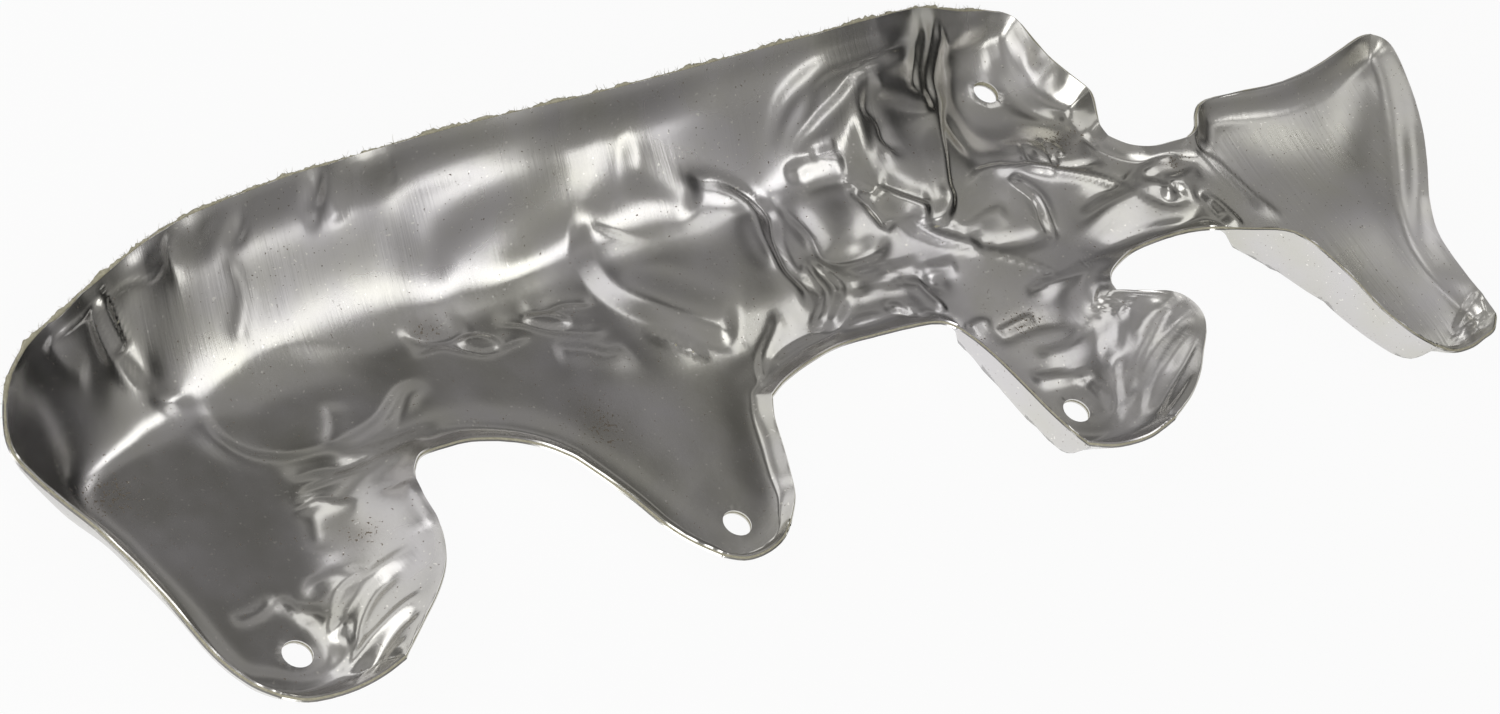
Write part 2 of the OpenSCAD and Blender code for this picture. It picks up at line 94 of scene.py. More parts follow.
wing_side = moved([
    (23, -11.5, 1.5 * L), (22.5, -5, 0.52 * G), (21.5, 2, 0.6 * G), (21.5, 11.5, 0.65 * G),
    (23, 18, 0.7 * G), (26.5, 25.5, 0.8 * G), (33, 35, 0.9 * G), (39, 44.5, 0.95 * G), (43.5, 54, G),
    (47.5, 64, G), (49.5, 71.5, G), (48.5, 75.5, G), (45.5, 77.8, G)], foot_x)
lobe_1_front = [(-11, -10.5, 1.7 * L), (-5.5, -13.5, 1.8 * L), (3.5, -14.5, 2 * L), (11.5, -14, 0.58 * F),
                (17.5, -12.5, 0.7 * F)]
lobe_1_right = [
    (17.5, -12.5, 0.7 * F), (25, -6.5, 0.85 * F), (31, -1.5, 0.95 * F), (35.5, 3.5, F), (38.5, 9, F),
    (40.5, 15, 0.96 * F), (42, 23, 0.8 * F), (44.5, 29.5, 0.6 * F)]
lobe_2_left = [(-9, -8.5, 0.5 * L), (-14, -3, 0.5 * L), (-18, 3, 0.6 * L), (-21.5, 11, 0.7 * L),
               (-25.5, 18.5, 0.8 * L), (-30, 25.5, L)]
lobe_2_front = [
    (-9, -8.5, 0.5 * L), (-4, -11, 0.5 * L), (2, -11, 0.5 * L), (8, -9, 0.5 * L), (12.5, -5.5, 0.6 * L)]
lobe_2_right = [
    (12.5, -5.5, 0.6 * L), (17, 0, 0.8 * L), (19.5, 6.5, L), (22, 13.5, L), (24.5, 21, L), (27.5, 26.5, L)]
lobe_3_left = [
    (-8.5, -12.5, 0.8 * S), (-12, -8.5, S), (-14, -1.5, S), (-15.5, 5.5, S), (-17, 15.8, 0.9 * S),
    (-17.3, 23.5, 0.65 * S), (-19, 29, 0.55 * S)]
lobe_3_front = [(-8.5, -12.5, 0.8 * S), (-2, -15.7, 0.6 * F), (7, -16.7, 0.7 * F), (15.5, -15, 0.85 * F)]
lobe_3_right = [
    (15.5, -15, 0.85 * F), (23.5, -11, 0.92 * F), (30, -6, 0.96 * F), (35, -0.5, F), (40.5, 5.5, F),
    (42, 11, F), (40, 17, 0.92 * F), (35, 21, 0.77 * F), (28.7, 25.3, 0.52 * F)]
foot_left = [
    (-5, -16, 0.4 * K), (-10.5, -14, 0.56 * K), (-14, -10.6, 0.63 * K), (-18, -4, 0.7 * K),
    (-21, 2.6, 0.8 * K), (-23.7, 8.8, 0.87 * K), (-27.7, 14.5, 0.98 * K), (-31.5, 20.7, K),
    (-33.5, 25, 0.85 * K), (-35.7, 29.6, 0.59 * K), (-38, 34.7, 0.31 * K)]
foot_front = [(-5, -16, 0.4 * K), (3.5, -17, L), (10.5, -17, 0.8 * L), (15.5, -16, L), (19.5, -15, 1.3 * L),
              (23, -11.5, 1.5 * L)]
scallop_shapes = [
    [(0.05, 32.5, 0.5 * F), (0.15, 36, 1.7 * L), (0.32, 37.2, 1.3 * L), (0.5, 37, 1.2 * L), (0.72, 34.5, L),
     (0.88, 30.5, L)],
    [(0.1, 29.5, L), (0.26, 32.5, L), (0.45, 34.5, L), (0.65, 34.5, L), (0.83, 33.5, 1.3 * L),
     (0.94, 32, 1.5 * L)],
    [(0.04, 29.5, 1.9 * L), (0.15, 33.5, 1.3 * L), (0.34, 37, 1.2 * L), (0.54, 38.2, 1.2 * L),
     (0.76, 39, 0.8 * L), (0.93, 37.8, 0.9 * L)]]
lobes = [
    (end_side[:6], lobe_1_front, lobe_1_right),
    (moved(lobe_2_left, port_2_x), moved(lobe_2_front, port_2_x), moved(lobe_2_right, port_2_x)),
    (moved(lobe_3_left, port_3_x), moved(lobe_3_front, port_3_x), moved(lobe_3_right, port_3_x)),
    (moved(foot_left, foot_x), moved(foot_front, foot_x), wing_side[:6])]


# The net of points
def spline(a, b, c, d, f):
    return 0.5 * (2 * b + (c - a) * f + (2 * a - 5 * b + 4 * c - d) * f ** 2
                  + (3 * b - a - 3 * c + d) * f ** 3)


def pick(points, k, f):
    p = np.asarray(points, float)
    n = len(p) - 1
    return spline(p[np.maximum(k - 1, 0)], p[k], p[k + 1], p[np.minimum(k + 2, n)], f[..., None])


def curve(points, t):
    """The smooth curve through points, at t from 0 to 1."""
    t = np.asarray(t, float)
    n = len(points) - 1
    k = np.clip(np.floor(t * n).astype(int), 0, n - 1)
    return pick(points, k, t * n - k)


def curve_at_x(points, x):
    xs = np.array([p[0] for p in points], float)
    k = np.clip(np.searchsorted(xs, x, side="right") - 1, 0, len(xs) - 2)
    out = pick(points, k, (x - xs[k]) / (xs[k + 1] - xs[k]))
    out[..., 0] = x
    return out


def ease(t):
    return t - crowding * np.sin(2 * np.pi * t) / (2 * np.pi)


def ramp(v, a, b):
    s = np.clip((v - a) / (b - a), 0, 1)
    return s * s * (3 - 2 * s)


def mix(a, b, t):
    return a * (1 - t) + b * t


tops = [(np.array(l[-1], float), np.array(r[-1], float)) for l, f, r in lobes]
scallops = []
for k, shape in enumerate(scallop_shapes):
    a, b = tops[k][1], tops[k + 1][0]
    scallops.append([tuple(a)] + [(mix(a[0], b[0], p[0]), p[1], p[2]) for p in shape] + [tuple(b)])
end_neck_t, end_mid_t, wing_neck_t = 5 / 12, 8 / 12, 5 / 12
mid_line = [
    tuple(curve(end_side, end_mid_t)), (-22, 59, 0), (20, 64, 0), (port_2_x, 66, 0), (port_3_x, 69, 0),
    tab_side[-1]]
mid_x = [mid_line[0][0], 42, port_2_x - 29, port_2_x + 28, port_3_x - 20, port_3_x + 29, tab_side[-1][0]]
back_x = [back_edge[0][0], 46, port_2_x - 27, port_2_x + 29, port_3_x - 20, tab_x - 15, tab_x + 12]
knots = posts[:6] + [tab_col]


def band_front(i):
    out = np.zeros(i.shape + (3,))
    for s in range(7):
        m = (i >= posts[s]) & (i <= posts[s + 1])
        u = (i[m] - posts[s]) / (posts[s + 1] - posts[s])
        k = s // 2
        out[m] = curve(scallops[k], u) if s % 2 else mix(*tops[k], ease(u)[:, None])
    return out


def band_middle(i):
    out = curve_at_x(mid_line, np.interp(i, knots, mid_x))
    m = (i > tab_col) & (i <= posts[6])
    out[m] = curve(bridge_back, (i[m] - tab_col) / (posts[6] - tab_col))
    m = i > posts[6]
    out[m] = curve(wing_back, ease((i[m] - posts[6]) / (posts[7] - posts[6])))
    return out


def band_back(i):
    return curve_at_x(back_edge, np.interp(i, knots, back_x))


def patch(front, back, left, right, corners, u, v, fade):
    fl, fr, bl, br = corners
    u, v = u[..., None], v[..., None]
    return (mix(front, back, v) + (1 - u) ** fade * (left - mix(fl, bl, v))
            + u ** fade * (right - mix(fr, br, v)))


def plan_point(i, j):
    """Place [x, y, rim height] of the net's point, with column i and row j as arrays of any numbers."""
    out = np.zeros(i.shape + (3,))
    for k, (l, f, r) in enumerate(lobes):
        m = (j < neck_row) & (i >= posts[2 * k]) & (i <= posts[2 * k + 1])
        u = ease((i[m] - posts[2 * k]) / (posts[2 * k + 1] - posts[2 * k]))
        v = (j[m] / neck_row) ** lobe_row_power
        a, b = tops[k]
        out[m] = patch(curve(f, u), mix(a, b, u[:, None]), curve(l, v), curve(r, v),
                       [np.array(q, float) for q in (l[0], r[0], a, b)], u, v, 1)
    m = (j >= neck_row) & (j <= mid_row)
    u, v = i[m] / last_col, ease((j[m] - neck_row) / (mid_row - neck_row))
    ends = np.array([0.0, last_col])
    fc, mc = band_front(ends), band_middle(ends)
    out[m] = patch(band_front(i[m]), band_middle(i[m]), curve(end_side, mix(end_neck_t, end_mid_t, v)),
                   curve(wing_side, mix(wing_neck_t, 1, v)), [fc[0], fc[1], mc[0], mc[1]], u, v, band_fade)
    m = j > mid_row
    u, v = i[m] / tab_col, (j[m] - mid_row) / (back_row - mid_row)
    ends = np.array([0.0, tab_col])
    mc, bc = band_middle(ends), band_back(ends)
    out[m] = patch(band_middle(i[m]), band_back(i[m]),
                   curve(end_side, mix(end_mid_t, 1, v)), curve(tab_side, 1 - v),
                   [mc[0], mc[1], bc[0], bc[1]], u, v, band_fade)
    return out


def is_cell(i, j):
    """Whether the net's cell at whole numbers i, j is sheet."""
    i, j = np.asarray(i), np.asarray(j)
    inside = (i >= 0) & (i < last_col) & (j >= 0) & (j < back_row)
    section = np.searchsorted(posts, i, side="right") - 1
    return inside & np.where(j < neck_row, section % 2 == 0, np.where(j < mid_row, True, i < tab_col))


def edge_slope(i, j):
    """Slope in degrees of the wall below a place on the edge."""
    low = j < neck_row
    return np.select(
        [(j == back_row) | ((i == 0) & (j > mid_row)), i == 0, (i == posts[1]) & low,
         ((i == posts[4]) | (i == posts[6])) & (j <= neck_row), (i == posts[5]) & low, j == 0,
         (i == last_col) | ((j == mid_row) & (i > posts[6]))],
        [45, 62, 33, 82, 33, 55, 42], 40)


class Net:
    """The net at a finer pitch: steps_i and steps_j parts to a cell."""

    def __init__(self, steps_i, steps_j):
        self.si, self.sj = steps_i, steps_j
        self.ni, self.nj = last_col * steps_i, back_row * steps_j
        ci, cj = np.meshgrid(np.arange(self.ni) // steps_i, np.arange(self.nj) // steps_j, indexing="ij")
        self.cell = is_cell(ci, cj)
        around = np.zeros((self.ni + 1, self.nj + 1), int)
        for a in (0, 1):
            for b in (0, 1):
                around[a:a + self.ni, b:b + self.nj] += self.cell
        self.around = around
        self.point = around > 0
        gi, gj = np.meshgrid(np.arange(self.ni + 1) / steps_i, np.arange(self.nj + 1) / steps_j,
                             indexing="ij")
        self.i, self.j = gi, gj
        self.plan = np.full(gi.shape + (3,), np.nan)
        self.plan[self.point] = plan_point(gi[self.point], gj[self.point])
        self.edge = self.point & (around < 4)


rim_net = Net(8, 8)
rim = rim_net.plan[rim_net.edge]
rim_slope = np.radians(edge_slope(rim_net.i[rim_net.edge], rim_net.j[rim_net.edge]))
rim_run = wall_curve * rim[:, 2] / np.tan(rim_slope)

# a cell's sides: the neighbour across each one, and the side's two corners
cell_sides = ((-1, 0, (0, 0), (0, 1)), (1, 0, (1, 0), (1, 1)),
              (0, -1, (0, 0), (1, 0)), (0, 1, (0, 1), (1, 1)))


def rim_line(parts):
    """The rim at a fine pitch: parts points along each cell side that has sheet on one side only."""
    t = np.linspace(0, 1, parts, endpoint=False)
    ii, jj = [], []
    for i in range(last_col):
        for j in range(back_row):
            for di, dj, a, b in cell_sides:
                if is_cell(i, j) and not is_cell(i + di, j + dj):
                    ii.append(i + mix(a[0], b[0], t))
                    jj.append(j + mix(a[1], b[1], t))
    return plan_point(np.concatenate(ii), np.concatenate(jj))


fine_rim = rim_line(48)
rim_tree = KDTree(len(fine_rim))
for k, q in enumerate(fine_rim):
    rim_tree.insert((q[0], q[1], 0), k)
rim_tree.balance()


def rim_distance(x, y):
    return np.array([rim_tree.find((a, b, 0))[2] for a, b in zip(x.tolist(), y.tolist())])


dish = (35, 57, 24, 17)
bulge = (port_3_x - 5, 80, 21, 19)


def reach(x, y, form):
    return np.hypot((x - form[0]) / form[2], (y - form[1]) / form[3])


def floor_height(x, y):
    return (-pocket_depth * ramp(x, tab_x - 21, tab_x - 13) * ramp(y, tab_y - 24, tab_y - 13)
            + platform_h * ramp(x, 121, 128) * ramp(x, 179, 171) * ramp(y, 42, 50)
            + bulge_h * np.exp(-reach(x, y, bulge) ** 2) * ramp(x, tab_x - 15, tab_x - 24)
            - dish_depth * ramp(reach(x, y, dish), 1.1, 0.75))


dents = [
    (126, 86, 42, 9, 5, -3), (104, 95, 30, 8, 3, 2), (-8, 77, 13, 4, 60, -1.4), (-1, 72, 5, 6, 0, 1.2),
    (193, 69.5, 10, 11, 0, 1.5), (197, 96, 11, 4, 45, 1.4), (213, 86, 4.5, 10, -12, 1.6),
    (228, 90, 8, 6, 0, -1.4), (243, 85, 4, 10, 0, -1.2), (214, 69.5, 8, 4, -40, 1.2),
    (238, 58, 10, 7, 0, -0.8), (256, 71.5, 16, 4, -8, 0.8), (280, 49, 16, 7, 0, 1), (295, 58, 7, 5, 0, 0.8),
    (14, 4, 8, 6, 45, 1.2), (29, 26, 9, 7, 30, 0.8), (246, 14, 11, 6, 45, 1.2)]


def turned(dx, dy, rx, ry, degrees):
    a = math.radians(degrees)
    return np.hypot((dx * math.cos(a) + dy * math.sin(a)) / rx, (dy * math.cos(a) - dx * math.sin(a)) / ry)


def dented(x, y, d):
    total = sum(h * np.exp(-turned(x - a, y - b, rx, ry, t) ** 2) for a, b, rx, ry, t, h in dents)
    return total * ramp(d, 0, dent_fade)


# how many places are worked out together
chunk = 4000


def height(x, y):
    """Height of the pressing at a place, and how far the place is from the nearest rim."""
    z, near = np.zeros(x.shape), np.zeros(x.shape)
    for a in range(0, len(x), chunk):
        px, py = x[a:a + chunk, None], y[a:a + chunk, None]
        d2 = (rim[:, 0] - px) ** 2 + (rim[:, 1] - py) ** 2
        w = 1 / (d2 + 0.1) ** 2
        total = w.sum(1)
        top, run = (w @ rim[:, 2]) / total, (w @ rim_run) / total
        d = rim_distance(px[:, 0], py[:, 0])
        base = floor_height(px[:, 0], py[:, 0])
        z[a:a + chunk] = (base + (top - base) * np.clip(1 - d / run, 0, None) ** wall_curve
                         + dented(px[:, 0], py[:, 0], d))
        near[a:a + chunk] = d
    return z, near


# The real sheet has no hard corner where a wall meets the floor, so the height is averaged over a few
# millimetres, away from the rim.
grid_step, grid_lo = 1.5, (-60.0, -30.0)
gx, gy = np.meshgrid(np.arange(grid_lo[0], 401, grid_step), np.arange(grid_lo[1], 126, grid_step),
                     indexing="ij")
hard = height(gx.ravel(), gy.ravel())[0].reshape(gx.shape)


def softened(grid, width):
    """The grid averaged over a width in millimetres."""
    half = int(3 * width / grid_step)
    weights = np.exp(-0.5 * (np.arange(-half, half + 1) * grid_step / width) ** 2)
    weights /= weights.sum()
    for axis in (0, 1):
        grid = np.apply_along_axis(
            lambda v: np.convolve(np.pad(v, half, mode="edge"), weights, mode="valid"), axis, grid)
    return grid


# wide along the back wall's left half and on the wing, narrow round the left end
wide_share = ramp(gx, 4, 22) * ramp(gx, 172, 150) * ramp(gy, 60, 74) + ramp(gx, 306, 322)
narrow, usual, wide = 2.2, 4.5, 8.5
soft = mix(softened(hard, usual), softened(hard, wide), wide_share)
soft = mix(softened(hard, narrow), soft, ramp(gx, -14, 8))


def spline_weights(t):
    return [(1 - t) ** 3 / 6, (3 * t ** 3 - 6 * t ** 2 + 4) / 6,
            (-3 * t ** 3 + 3 * t ** 2 + 3 * t + 1) / 6, t ** 3 / 6]


def sample(grid, fx, fy):
    """A grid's smooth value at places given in grid steps."""
    ix = np.clip(np.floor(fx).astype(int), 1, grid.shape[0] - 3)
    iy = np.clip(np.floor(fy).astype(int), 1, grid.shape[1] - 3)
    wx, wy = spline_weights(fx - ix), spline_weights(fy - iy)
    return sum(wx[a] * wy[b] * grid[ix + a - 1, iy + b - 1] for a in range(4) for b in range(4))


def soft_height(x, y):
    z, near = height(x, y)
    s = sample(soft, (x - grid_lo[0]) / grid_step, (y - grid_lo[1]) / grid_step)
    return mix(z, s, ramp(near, 0.5, 9)), near


# Camera
turn = np.array([[0.7869, -0.5127, 0.3435], [0.2245, 0.7563, 0.6145], [-0.5748, -0.4064, 0.7103]])
eye = np.array([-420.1, -361.8, 701.8])
photo_width, focal_px, sensor_mm = 1500, 4190.86, 36


def seen(points):
    """Places on the sheet that show, from the camera, at these places of the port pads' plane."""
    q = np.array(points, float)
    out = q.copy()
    for _ in range(12):
        z = height(out[:, 0], out[:, 1])[0]
        out = q - (out - eye[:2]) / eye[2] * z[:, None]
    return out


# Pressed and crumpled forms
def along(points, x, y):
    """Distance from the smooth line through points, the side it lies on, and how far along, from 0 to 1."""
    line = curve([(p[0], p[1], 0) for p in points], np.linspace(0, 1, 6 * (len(points) - 1) + 1))[:, :2]
    best, side, at = np.full(x.shape, 1e9), np.zeros(x.shape), np.zeros(x.shape)
    steps = np.hypot(*np.diff(line, axis=0).T)
    total, passed = steps.sum(), 0.0
    for a, b, l in zip(line[:-1], line[1:], steps):
        if l < 1e-9:
            continue
        ux, uy = (b - a) / l
        s = np.clip((x - a[0]) * ux + (y - a[1]) * uy, 0, l)
        dx, dy = x - a[0] - s * ux, y - a[1] - s * uy
        d = np.hypot(dx, dy)
        m = d < best
        best = np.where(m, d, best)
        side = np.where(m, np.sign(ux * dy - uy * dx), side)
        at = np.where(m, (passed + s) / total, at)
        passed += l
    return best, side, at


# how far a chamfer falls on its far side, and how far from its line it is worked out
chamfer_fall, chamfer_reach = 9, 26


class Relief:
    """Adds up forms over the sheet, as height in millimetres towards the hollow side."""

    def __init__(self, x, y):
        self.x, self.y, self.z = x, y, np.zeros(x.shape)

    def near(self, points, reach_mm):
        p = np.array(points, float)
        lo, hi = p.min(0) - reach_mm, p.max(0) + reach_mm
        return (self.x > lo[0]) & (self.x < hi[0]) & (self.y > lo[1]) & (self.y < hi[1])

    def line(self, points, width, h, kind="round", taper=0.18):
        p = seen(points)
        m = self.near(p, chamfer_reach if kind == "chamfer" else 7 * width + 1)
        d, side, at = along(p, self.x[m], self.y[m])
        t = d / width
        if kind == "round" and width > 1.6:
            f = np.exp(-t ** 2)
        elif kind == "round":      # a small crease: crisp on one side
            f = np.where(side * h > 0, np.exp(-(t / 0.8) ** 2), np.exp(-(t / 2.6) ** 2))
        elif kind == "sharp":
            f = np.exp(-1.6 * t)
        elif kind == "bead":
            f = 1 / (1 + t ** 6)
        elif kind == "chamfer":    # a flat slope up towards the left of the line, then a long fall
            d = side * d
            fall = np.exp(-((d - width) / chamfer_fall) ** 2)
            f = np.where(d < width, np.clip(0.5 + d / (2 * width), 0, 1), fall)
        elif kind == "left":       # steep on the left of the line, long on the right
            f = np.where(side > 0, np.exp(-(t / 0.6) ** 2), np.exp(-(t / 3.0) ** 2))
        else:                      # steep on the right
            f = np.where(side < 0, np.exp(-(t / 0.6) ** 2), np.exp(-(t / 3.0) ** 2))
        f = f * ramp(at, -0.02, taper) * ramp(at, 1.02, 1 - taper)
        self.z[m] += h * f * (0.7 if width < 1.25 else 1)

    def tilt(self, x, y, rx, ry, turn_deg, slope_x, slope_y):
        """A flat patch leant over by the given slopes."""
        c = seen([(x, y)])
        m = self.near(c, 2 * max(rx, ry))
        dx, dy = self.x[m] - c[0, 0], self.y[m] - c[0, 1]
        self.z[m] += (dx * slope_x + dy * slope_y) * ramp(turned(dx, dy, rx, ry, turn_deg), 1.35, 0.8)

    def spot(self, x, y, rx, ry, turn_deg, h, flat=0.0):
        c = seen([(x, y)])
        m = self.near(c, 3 * max(rx, ry))
        t = turned(self.x[m] - c[0, 0], self.y[m] - c[0, 1], rx, ry, turn_deg)
        self.z[m] += h * (np.exp(-t ** 2) if not flat else ramp(t, 1.25, 1.25 - flat))


def noise(x, y, pitch, seed):
    """Smooth noise from -1 to 1."""
    n = np.ceil(np.array([480.0, 190.0]) / pitch).astype(int) + 4
    v = np.random.default_rng(seed).uniform(-1, 1, (n[0], n[1]))
    return 1.6 * sample(v, (x + 70) / pitch, (y + 45) / pitch)


def left_end(r):
    """The left end and its corner pleat."""
    r.line([(5, 104), (4.5, 97), (3.2, 90), (2.5, 83)], 0.9, -0.9, "sharp")
    r.line([(2, 101), (-0.8, 93), (-1.6, 85), (0, 76), (4, 70), (10, 68)], 2.3, -0.8)
    r.line([(2.5, 100), (1.3, 92), (1, 84)], 2.0, 0.8)
    r.spot(3, 76.5, 3.0, 4.5, -15, 0.7)
    r.line([(-12, 92), (-4, 95.5), (1, 99)], 0.7, 0.5, "sharp")
    r.line([(6, 100), (12, 102), (16, 101.5), (22, 105)], 0.7, 0.5, "sharp")
    r.line([(-14, 93), (-13, 86), (-9, 81)], 2.5, -0.5)


def back_edge_dents(r):
    """Dents along the back edge."""
    r.spot(16, 105, 4.5, 5, 20, 0.9)
    r.spot(25, 107, 1.8, 5, 5, -0.7)
    r.spot(32.5, 109.5, 4, 4, 0, 0.8)
    r.spot(43.5, 109.5, 3.2, 1.9, 35, 0.9)
    r.spot(66.5, 114, 3.2, 2.2, 40, 1.0)
    r.spot(63.5, 107.5, 2, 1.4, 40, 0.5)
    r.spot(83, 116, 6, 5, 20, 0.7)
    r.line([(90, 121), (88.5, 112)], 0.9, 0.5, "sharp")
    r.line([(38, 104), (36.5, 93), (31, 84), (26, 78)], 2.2, -0.4)
    r.line([(73, 121), (71, 112), (69, 104)], 2.6, -0.5)


def dish_waves(r):
    """The round dish, its ovals and waves."""
    r.tilt(35, 57, 20, 13, 0, 0.0, 0.05)
    r.line([(11, 67), (10, 58), (14, 51), (20, 47.5), (28, 46), (38, 46.5), (48, 49), (54, 52.5), (59, 56),
            (66, 56.8)], 1.5, 0.5)
    r.line([(40, 58), (38, 52), (34, 47)], 1.6, -0.25)
    r.line([(30, 45), (40, 44), (50, 46.5), (56, 51), (60, 54.5), (66, 56)], 0.9, 0.35)
    r.spot(84, 62.5, 4.8, 2.4, -20, 0.5, 0.5)
    r.spot(103.5, 63.8, 5, 2, -22, 0.45, 0.5)
    r.line([(66, 64), (74, 65), (80, 62), (85, 60), (92, 61), (98, 61)], 1.3, -0.4)
    r.line([(98, 68), (104, 66.5), (110, 67), (118, 65)], 1.0, -0.5)
    r.line([(90, 67), (97, 65), (104, 60.5), (112, 57.3), (118, 57.5)], 1.0, -0.5)
    r.line([(100, 56), (108, 53), (113, 50), (118, 51)], 1.6, 0.5)
    r.line([(67, 72), (69, 68), (76, 66), (84, 67)], 1.4, -0.4)


def back_wall_ridges(r):
    """The long ridges of the back wall's swell, and the one that joins them to the platform."""
    r.line([(76, 75), (81, 87), (90, 97), (102, 102.5), (117, 105.5), (136, 107)], 7.5, 1.4, "round", 0.25)
    r.line([(84, 80), (98, 84), (120, 90), (140, 97), (158, 103)], 5.5, 0.9, "round", 0.25)
    r.line([(148, 104), (152, 97), (157, 90), (160, 83)], 5, 1.2, "round", 0.25)


def lobe_1_creases(r):
    """Bands at the first lobe's neck, then its crumpled flare."""
    r.line([(17, 34), (21, 36.5), (28, 38), (40, 39.5), (50, 40.8), (58, 42)], 1.0, 0.6)
    r.line([(18, 33), (24, 34.5), (28, 32.5), (33, 31.5)], 0.9, 0.6)
    r.line([(20, 42), (28, 42), (36, 40.3), (44, 40.8)], 1.0, -0.5)
    r.line([(34, 43.5), (42, 42.5), (52, 43.5), (62, 44)], 1.2, 0.6)
    r.line([(21, 38), (21, 30), (18, 22)], 3, -0.5)
    r.line([(46, 33), (47, 26), (46.5, 20)], 1.5, 0.6)
    for pts, w, h in [
            ([(8, -9), (14, -4), (22, 0.5), (30, 4), (36, 5.5)], 0.9, 0.9),
            ([(10, -9.5), (17, -6.5), (25, -1.5), (33, 1.5)], 0.9, -0.7),
            ([(6, -8.5), (9, -1), (13, 6), (18, 11), (24, 14)], 1.0, 0.9),
            ([(10, -6), (11.5, 0), (16, 6), (25, 12.5), (33, 15.5), (41, 17.5)], 1.1, 1.1),
            ([(12, -5), (17, 2), (25, 8.5), (34, 12)], 1.3, -0.8),
            ([(9, 11.5), (12, 15), (18, 15.8), (24, 14.8), (23, 12), (17, 11)], 0.8, 0.7),
            ([(3, 15), (4.5, 12), (7.5, 9), (12, 7.5)], 0.9, 0.6),
            ([(-10, 12), (-5, 11.5), (0, 13), (3, 15)], 0.9, -0.5),
            ([(9, -10), (14, -8), (20, -8), (23, -8.5)], 0.6, -0.8),
            ([(14, -10.5), (20, -7), (26, -4.5)], 0.8, 0.7)]:
        r.line(pts, w, h, "left" if h > 0 else "round")
    r.spot(12, 2.5, 2.2, 1.4, 45, 0.9)
    r.line([(4, -7), (7, -4), (8.3, 1), (7, 6), (4, 9)], 1.3, 0.6)
    r.spot(-3.5, -4.8, 7, 2.4, -18, 0.9)


def platform_beads(r):
    """Beads round the platform."""
    r.line([(128, 90), (122.5, 83), (120.5, 75), (122, 67), (127, 61), (134, 55), (141, 48.5),
            (146, 43)], 2.6, 1.2, "chamfer", 0.1)
    r.line([(126, 54), (132, 48.5), (137, 42.5)], 0.8, -1.0, "sharp")
    r.line([(158, 93), (168, 89.5), (175, 83), (177, 76), (174.5, 69), (173, 61), (174, 54),
            (170, 47)], 1.7, -1.1)
    r.line([(164, 91), (171, 86), (173.5, 79), (171.5, 71), (170, 60)], 1.5, 0.7)
    r.line([(146, 30), (150, 38), (158, 45), (163, 50)], 1.2, 0.7)
    r.line([(148, 34), (156, 38.5), (166, 40.5), (175, 40)], 1.0, -0.5)
    r.line([(167, 41.5), (174, 46.5), (177, 51), (176.5, 57), (178.5, 62)], 0.8, 1.0, "left")
    r.line([(178.5, 62), (180.5, 57.5), (183, 51), (179, 47), (170, 39.5)], 0.8, 0.9, "right")
    r.line([(160, 36), (170, 37), (180, 40.5), (190, 40)], 1.0, 0.6)


